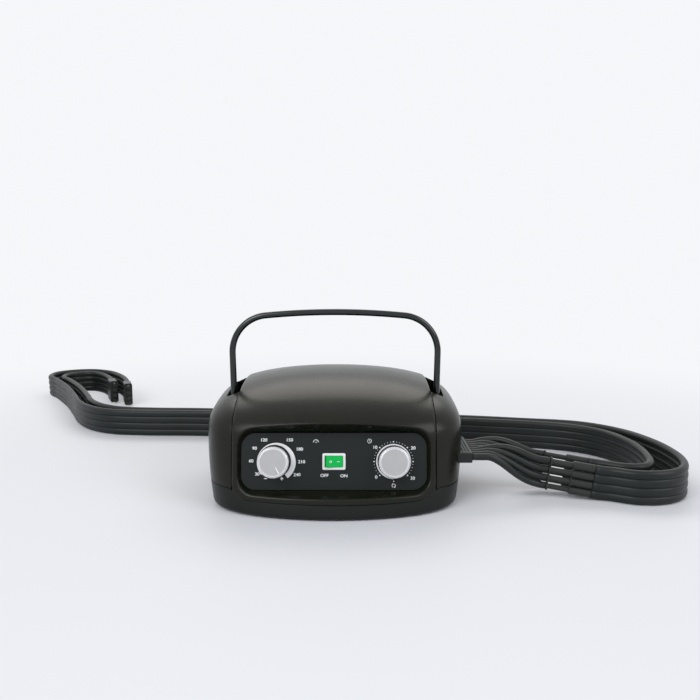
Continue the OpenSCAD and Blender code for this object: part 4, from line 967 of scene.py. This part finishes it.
rocker_turn = math.radians(7)


def on_rocker(x, up, out):
    """A place on the rocker, which is pressed in on the right."""
    return on_panel(x * math.cos(rocker_turn) + out * math.sin(rocker_turn), up,
                    rocker_pivot - x * math.sin(rocker_turn) + out * math.cos(rocker_turn))


def rocker_face(x):
    """Height of the rocker's dished face above its pivot."""
    return 0.0045 + 0.0008 * (abs(x) / 0.0071) ** 1.2


side_view = [Vector((0.0075 * i / 10, -0.0015)) for i in range(-10, 11)]
side_view += [Vector((0.0075, z)) for z in (0.0, 0.0020, 0.0040, 0.0048)]
side_view += [Vector((0.0074, 0.0051)), Vector((0.0071, 0.0053))]
side_view += [Vector((x, rocker_face(x))) for x in [0.0071 * i / 12 for i in range(11, -12, -1)]]
side_view += [Vector((-0.0071, 0.0053)), Vector((-0.0074, 0.0051))]
side_view += [Vector((-0.0075, z)) for z in (0.0048, 0.0040, 0.0020, 0.0)]
rocker_rings = []
for up, size in [(-0.0049, 0.95), (-0.0048, 0.98), (-0.0045, 1), (0.0045, 1), (0.0048, 0.98),
                 (0.0049, 0.95)]:
    rocker_rings.append([on_rocker(p.x * size, up, 0.0018 + (p.y - 0.0018) * size) for p in side_view])
rocker = ring_solid("switch_rocker_skin", on_rocker(0, -0.0049, 0.0018), rocker_rings,
                    on_rocker(0, 0.0049, 0.0018))
bore_edge = rounded_outline(0.0018, 0.0018, 0.00089, 0.0004)
bore = ring_solid("bore", on_rocker(0, -0.006, 0),
                  [[on_rocker(p.x, up, p.y) for p in bore_edge]
                   for up in (-0.006, 0.006)], on_rocker(0, 0.006, 0))
carve(rocker, bore)
finish_shell(rocker, "rocker", "switch_rocker", green_clear)

# O on the left face and I on the right
for name, x, start, end, inner, outer in [("mark_off", -0.0036, 0, 360, 0.0007, 0.0011),
                                          ("mark_on", 0.0036, 0, 0, 0, 0)]:
    if end:
        bpy.ops.mesh.primitive_cylinder_add(vertices=28, radius=outer, depth=0.0002)
        mark = bpy.context.object
        bpy.ops.mesh.primitive_cylinder_add(vertices=28, radius=inner, depth=0.001)
        carve(mark, bpy.context.object)
    else:
        mark = box_tool(name, (-0.0012, -0.00025, -0.0001), (0.0012, 0.00025, 0.0001))
    mark.name = name
    for corner in mark.data.vertices:
        p = corner.co.copy()
        corner.co = on_rocker(x + p.x, p.y, rocker_face(x + p.x) + p.z)
    mark.data.materials.clear()
    mark.data.materials.append(white_ink)
    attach(mark, "rocker")


# ---------------------------------------------------------------- lead tubes and ribbon hoses
# Eight soft black tubes bring the air out of the plug, swept along their routes. Past the
# couplings they run as two ribbon hoses of four bores, extruded in one piece, which stand
# on their edge on the table, go round behind the housing and loop at both ends.

air_lines = 8
line_pitch = 0.0074
plug_face_x = 0.113 + 0.0002
plug_out = 0.016
lead_d = 0.0066
bore_pitch = 0.00825
ribbon_h = 4 * bore_pitch
rest_z = ribbon_h / 2
coupling_l = 0.042
coupling_way = Vector((42, -7, -6)).normalized()


def rubber_material(name, color, scratch):
    """Soft PVC: satin, a little uneven, with a fine grain."""
    material, tree, shader, place = clouded_shader(
        name, color, {"Scale": 38, "Detail": 5}, [(0.32, 0.78), (0.72, 1.3)], (0.33, 0.5))
    grain = add_node(tree, "ShaderNodeTexNoise", {"Scale": scratch, "Detail": 3})
    tree.links.new(place.outputs["Object"], grain.inputs["Vector"])
    raise_grain(tree, shader, grain, 0.12, 0.0002)
    shader.inputs["Specular IOR Level"].default_value = 0.3
    return material


hose_rubber = rubber_material("hose_rubber", (0.0095, 0.0125, 0.0115), 900)
lead_rubber = rubber_material("lead_rubber", (0.013, 0.016, 0.0145), 1200)


def smooth_route(points, step):
    """A smooth curve through the points, with a point about every step along it."""
    ends = [2 * points[0] - points[1]] + list(points) + [2 * points[-1] - points[-2]]
    route = []
    for before, a, b, after in zip(ends, ends[1:], ends[2:], ends[3:]):
        parts = max(1, round((b - a).length / step))
        reach = (b - a).length
        leave = (b - before).normalized() * reach
        arrive = (after - a).normalized() * reach
        for i in range(parts):
            f = i / parts
            route.append((2 * f**3 - 3 * f**2 + 1) * a + (f**3 - 2 * f**2 + f) * leave
                         + (3 * f**2 - 2 * f**3) * b + (f**3 - f**2) * arrive)
    return route + [points[-1]]


def swept_tube(name, route, outline, material):
    """A closed solid that carries an outline of (across, up) offsets along a route."""
    count = len(outline)
    ways = [(b - a).normalized() for a, b in zip(route, route[1:])]
    tangents = [ways[0]] + [(a + b).normalized() for a, b in zip(ways, ways[1:])] + [ways[-1]]
    across = tangents[0].cross(Vector((0, 0, 1))).normalized()
    corners = []
    for point, tangent in zip(route, tangents):
        across = (across - across.dot(tangent) * tangent).normalized()
        up = across.cross(tangent)
        corners += [point + across * o[0] + up * o[1] for o in outline]
    rings = len(route)
    faces = [[r * count + i, r * count + (i + 1) % count,
              (r + 1) * count + (i + 1) % count, (r + 1) * count + i]
             for r in range(rings - 1) for i in range(count)]
    faces.append(list(range(count))[::-1])
    faces.append([(rings - 1) * count + i for i in range(count)])
    mesh = bpy.data.meshes.new(name)
    mesh.from_pydata(corners, [], faces)
    piece = bpy.data.objects.new(name, mesh)
    bpy.context.collection.objects.link(piece)
    work = bmesh.new()
    work.from_mesh(mesh)
    bmesh.ops.recalc_face_normals(work, faces=work.faces)
    work.to_mesh(mesh)
    work.free()
    mesh.materials.append(material)
    mesh.shade_smooth()
    return piece


def round_outline(diameter, count):
    return [(diameter / 2 * math.cos(a), diameter / 2 * math.sin(a)) for a in turns(count)]


def coupling_place(start, k):
    """Where coupling k of a group starts: the group is a stack, square to its way."""
    across = coupling_way.cross(Vector((0, 0, 1))).normalized()
    return start + (k - 1.5) * bore_pitch * across.cross(coupling_way)


def lead_points(start, first, k):
    """Route of one lead tube: its group of four turns from a row into a stack."""
    row_y = -plug_front + (first + 1.5 - (air_lines - 1) / 2) * line_pitch
    leave = Vector((plug_face_x + plug_out, row_y + (k - 1.5) * line_pitch, plug_z))
    arrive = coupling_place(start, k)
    points = [leave]
    steps = 6
    for i in range(steps + 1):
        f = i / steps
        g = f * f * (3 - 2 * f)
        turn = math.pi / 2 * g
        spread = (k - 1.5) * (line_pitch + g * (bore_pitch - line_pitch))
        x = leave.x + 0.008 + f * (start.x - 0.009 - leave.x - 0.008)
        y = row_y + g * (start.y + 0.0015 - row_y) + spread * math.cos(turn)
        z = (plug_z + g * (start.z + 0.0013 - plug_z) + 0.004 * math.sin(math.pi * f)
             + spread * math.sin(turn))
        points.append(Vector((x, y, z)))
    return points + [arrive - 0.004 * coupling_way, arrive]


lead_outline = round_outline(lead_d, 20)
front_start = Vector((0.204, -0.0375, 0.0238))
rear_start = Vector((0.204, -0.0135, 0.0238))
for group, first, start in [("front", 0, front_start), ("rear", 4, rear_start)]:
    for k in range(4):
        route = smooth_route(lead_points(start, first, k), 0.002)
        lead = swept_tube(f"lead_tube_{group}_{k + 1}", route, lead_outline, lead_rubber)
        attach(lead, "hose_set")
        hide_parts(f"lead_tubes_{group}")

# One half of a ribbon hose's outline: four round lobes with valleys between them
lobe_half = bore_pitch / 2
lobe_steps = 6
half_outline = []
for lobe in range(4):
    for i in range(2 * lobe_steps + (lobe == 3)):
        share = -math.cos(math.pi * i / (2 * lobe_steps))
        outer = (lobe == 0 and share < 0) or (lobe == 3 and share > 0)
        web = 0.0 if outer else 0.0024
        bulge = web + (0.004 - web) * math.sqrt(max(0.0, 1 - share * share))
        half_outline.append((bulge, (lobe - 1.5) * bore_pitch + share * lobe_half))
ribbon_outline = half_outline + [(-x, z) for x, z in half_outline[-2:0:-1]]

outer_bends = [
    (262, -48), (281, -58), (303, -59), (323, -50), (336, -34), (344, -10), (346, 20), (342, 55), (328, 95),
    (304, 125), (276, 142), (230, 153), (150, 170), (0, 190), (-170, 209), (-245, 213), (-285, 221),
    (-315, 241), (-338, 270), (-358, 310), (-390, 370), (-425, 425), (-446, 455), (-442, 482), (-414, 492),
    (-392, 478), (-372, 450), (-360, 425)]
inner_bends = [
    (262, -26), (280, -36), (297, -35), (308, -22), (314, 0), (317, 25), (316, 55), (306, 90), (288, 113),
    (260, 130), (220, 142), (150, 156), (0, 176), (-170, 196), (-250, 199), (-295, 207), (-328, 230),
    (-352, 262), (-374, 305), (-406, 365), (-444, 425), (-469, 462), (-464, 496), (-425, 514), (-388, 500),
    (-360, 468), (-340, 432), (-330, 405)]
for ribbon, start, bends in [("outer", front_start, outer_bends), ("inner", rear_start, inner_bends)]:
    leave = start + coupling_l * coupling_way
    points = [leave, leave + 0.008 * coupling_way]
    points += [Vector((x / 1000, y / 1000, rest_z)) for x, y in bends]
    route = smooth_route(points, 0.005)
    hose = swept_tube(f"ribbon_hose_{ribbon}_skin", route, ribbon_outline, hose_rubber)
    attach(hose, "hose_set")
    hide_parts(f"ribbon_hose_{ribbon}")


# ---------------------------------------------------------------- hose plug and couplings
# The eight lead tubes end in one soft-edged black plug with finger grooves, which pushes onto
# nipples in the side of the pump. Straight push-on couplings join them to the ribbon hoses,
# and a four-way block with nipples closes each ribbon hose at its far end.

plug_black = surface_material("plug_plastic", (0.016, 0.018, 0.0175), 0.40, 0.0005, 0.00005)
coupling_grey = surface_material("coupling_plastic", (0.030, 0.032, 0.030), 0.30, 0.0005, 0.00003)
plug_outline = rounded_outline(0.061, 0.010, 0.0016, 0.0012)
plug_rings = []
for x, drawn_in in [(0, 0.0005), (0.0002, 0.0001), (0.0005, 0), (0.0150, 0), (0.0156, 0.0002),
                    (0.0159, 0.0005), (0.0160, 0.0009)]:
    plug_rings.append([Vector((plug_face_x + x, -plug_front + p.x * (1 - drawn_in / 0.0305),
                               plug_z + p.y * (1 - drawn_in / 0.005))) for p in plug_outline])
plug = ring_solid("hose_plug_skin", Vector((plug_face_x, -plug_front, plug_z)), plug_rings,
                  Vector((plug_face_x + plug_out, -plug_front, plug_z)))
for groove in range(4):
    for side in (-1, 1):
        middle = Vector((plug_face_x + 0.0042 + 0.0028 * groove, -plug_front, plug_z + side * 0.0051))
        rod = [Vector((0.0008 * math.cos(a), 0.0008 * math.sin(a))) for a in turns(20)]
        rings = [[middle + Vector((p.x * k, y, p.y * k)) for p in rod]
                 for y, k in [(-0.0268, 0.4), (-0.0262, 0.85), (-0.0255, 1),
                              (0.0255, 1), (0.0262, 0.85), (0.0268, 0.4)]]
        tip = Vector((0, 0.0269, 0))
        carve(plug, ring_solid("groove", middle - tip, rings, middle + tip))
for line in range(air_lines):
    y = -plug_front + (line - 3.5) * line_pitch
    rings = [[Vector((plug_face_x + x, y + r * math.cos(a), plug_z + r * math.sin(a)))
              for a in turns(20)]
             for x, r in [(-0.0100, 0.0015), (-0.0097, 0.0018), (-0.0085, 0.0021), (0.002, 0.0021)]]
    carve(plug, ring_solid("nipple", Vector((plug_face_x - 0.01, y, plug_z)), rings,
                           Vector((plug_face_x + 0.002, y, plug_z))), "UNION")
finish_shell(plug, "hose_set", "hose_plug", plug_black)
for node in ("couplings_front", "couplings_rear", "end_connector_outer", "end_connector_inner"):
    node_finish(node, coupling_grey)
node_finish("outlet_socket", plug_black)


# ---------------------------------------------------------------- handle
# A round steel rod bent into a low arch and plated in dark chrome. Each leg ends in a boss
# that turns on a pin through the wall of its well, between two nylon washers.

dark_chrome = surface_material("dark_chrome", (0.022, 0.027, 0.026), 0.12, 0.0009, 0.00001, 0.9)
chrome_shader = dark_chrome.node_tree.nodes["Principled BSDF"]
chrome_shader.inputs["Coat Weight"].default_value = 0.5
zinc_steel = surface_material("zinc_steel", (0.52, 0.52, 0.50), 0.30, 0.0006, 0.00002, 1.0)
nylon = surface_material("nylon", (0.66, 0.65, 0.60), 0.45, 0.0007, 0.00003)

rod_d = 0.0062
leg_x = well_x + well_w / 2
splay = math.radians(0.8)
bend_r = 0.036
bow_r = 0.7
leg_way = Vector((math.sin(splay), math.cos(splay)))
bow_mid = Vector((0, 0.093 - rod_d / 2 - bow_r))
from_bow = Vector((leg_x, 0)) + bend_r * Vector((-leg_way.y, leg_way.x)) - bow_mid
along = from_bow.dot(leg_way)
leg_run = -along + math.sqrt(along**2 - from_bow.dot(from_bow) + (bow_r - bend_r) ** 2)
bend_mid = from_bow + bow_mid + leg_run * leg_way
bow_half = math.atan2((bend_mid - bow_mid).x, (bend_mid - bow_mid).y)
half_route = [Vector((leg_x, 0)) + leg_way * leg_run * i / 12 for i in range(12)]
half_route += [bend_mid + bend_r * Vector((math.cos(a), math.sin(a)))
               for a in [-splay + (math.pi / 2 - bow_half + splay) * i / 28 for i in range(28)]]
half_route += [bow_mid + bow_r * Vector((math.sin(a), math.cos(a)))
               for a in [bow_half * (1 - i / 24) for i in range(25)]]
rod_route = [pivot_spot + Vector((p.x, 0, p.y)) for p in half_route]
rod_route += [pivot_spot + Vector((-p.x, 0, p.y)) for p in half_route[-2::-1]]
rod_across = Vector((0, 1, 0))
rod_rings = []
for i, point in enumerate(rod_route):
    tangent = (rod_route[min(i + 1, len(rod_route) - 1)] - rod_route[max(i - 1, 0)]).normalized()
    rod_rings.append([point + rod_d / 2 * (math.cos(a) * rod_across + math.sin(a) * rod_across.cross(tangent))
                      for a in turns(36)])
handle_rod = ring_solid("handle_rod", rod_route[0], rod_rings, rod_route[-1])
for side in (-1, 1):
    middle = pivot_spot + Vector((side * leg_x, 0, 0))
    rings = [[middle + Vector((x, r * math.cos(a), r * math.sin(a)))
              for a in turns(40)]
             for x, r in [(-0.0040, 0.0049), (-0.0038, 0.0053), (-0.0034, 0.0055),
                          (0.0034, 0.0055), (0.0038, 0.0053), (0.0040, 0.0049)]]
    boss_end = Vector((0.004, 0, 0))
    carve(handle_rod, ring_solid("boss", middle - boss_end, rings, middle + boss_end), "UNION")
    carve(handle_rod, pin_tool("pin_hole", *sorted((side * (leg_x - 0.005), side * (leg_x + 0.005)))))
finish_shell(handle_rod, "handle", "handle", dark_chrome)
node_finish("handle_pins", zinc_steel)
node_finish("handle_washers", nylon)


# ---------------------------------------------------------------- feet, screws and the mains inlet
# Four rubber feet push into the base, zinc-plated screws hold the covers to it from below, and
# a glossy black inlet with three pins is clipped into the back.

foot_rubber = rubber_material("foot_rubber", (0.013, 0.013, 0.013), 1500)
inlet_black = surface_material("inlet_plastic", (0.010, 0.010, 0.011), 0.24, 0.0008, 0.00002)
node_finish("rubber_feet", foot_rubber)
node_finish("case_screws", zinc_steel)
node_finish("mains_inlet", inlet_black)


# ---------------------------------------------------------------- works inside the housing
# A double-acting linear compressor on rubber mounts feeds a rotary distributor, through a
# brass regulator, and the distributor feeds the eight outlets. None of it shows from outside.

cast_alloy = surface_material("cast_alloy", (0.42, 0.43, 0.44), 0.46, 0.0012, 0.0001, 0.85)
brass = surface_material("brass", (0.60, 0.42, 0.16), 0.30, 0.0009, 0.00002, 1.0)
enamelled_wire = surface_material("enamelled_windings", (0.36, 0.12, 0.035), 0.32, 0.0007, 0.0002)
ivory_plastic = surface_material("ivory_plastic", (0.62, 0.60, 0.52), 0.42, 0.0006, 0.00003)
works_black = surface_material("works_plastic", (0.028, 0.029, 0.030), 0.45, 0.0006, 0.00004)
silicone = surface_material("silicone_tube", (0.52, 0.55, 0.52), 0.36, 0.0015, 0.00003)
wire_sleeve = surface_material("wire_sleeve", (0.20, 0.055, 0.030), 0.40, 0.0008, 0.00002)
mount_rubber = rubber_material("mount_rubber", (0.015, 0.015, 0.015), 1500)
works = {
    "compressor_case": cast_alloy, "compressor_heads": works_black, "compressor_piston": zinc_steel,
    "compressor_coils": enamelled_wire, "compressor_mounts": mount_rubber,
    "distributor_case": ivory_plastic, "distributor_rotor": works_black,
    "distributor_motor": zinc_steel, "pressure_regulator": brass, "pressure_stem": zinc_steel,
    "time_stem": zinc_steel, "timer_case": ivory_plastic, "terminal_block": ivory_plastic,
    "inner_tubes": silicone, "supply_tubes": silicone, "wiring": wire_sleeve}
for node, material in works.items():
    node_finish(node, material)
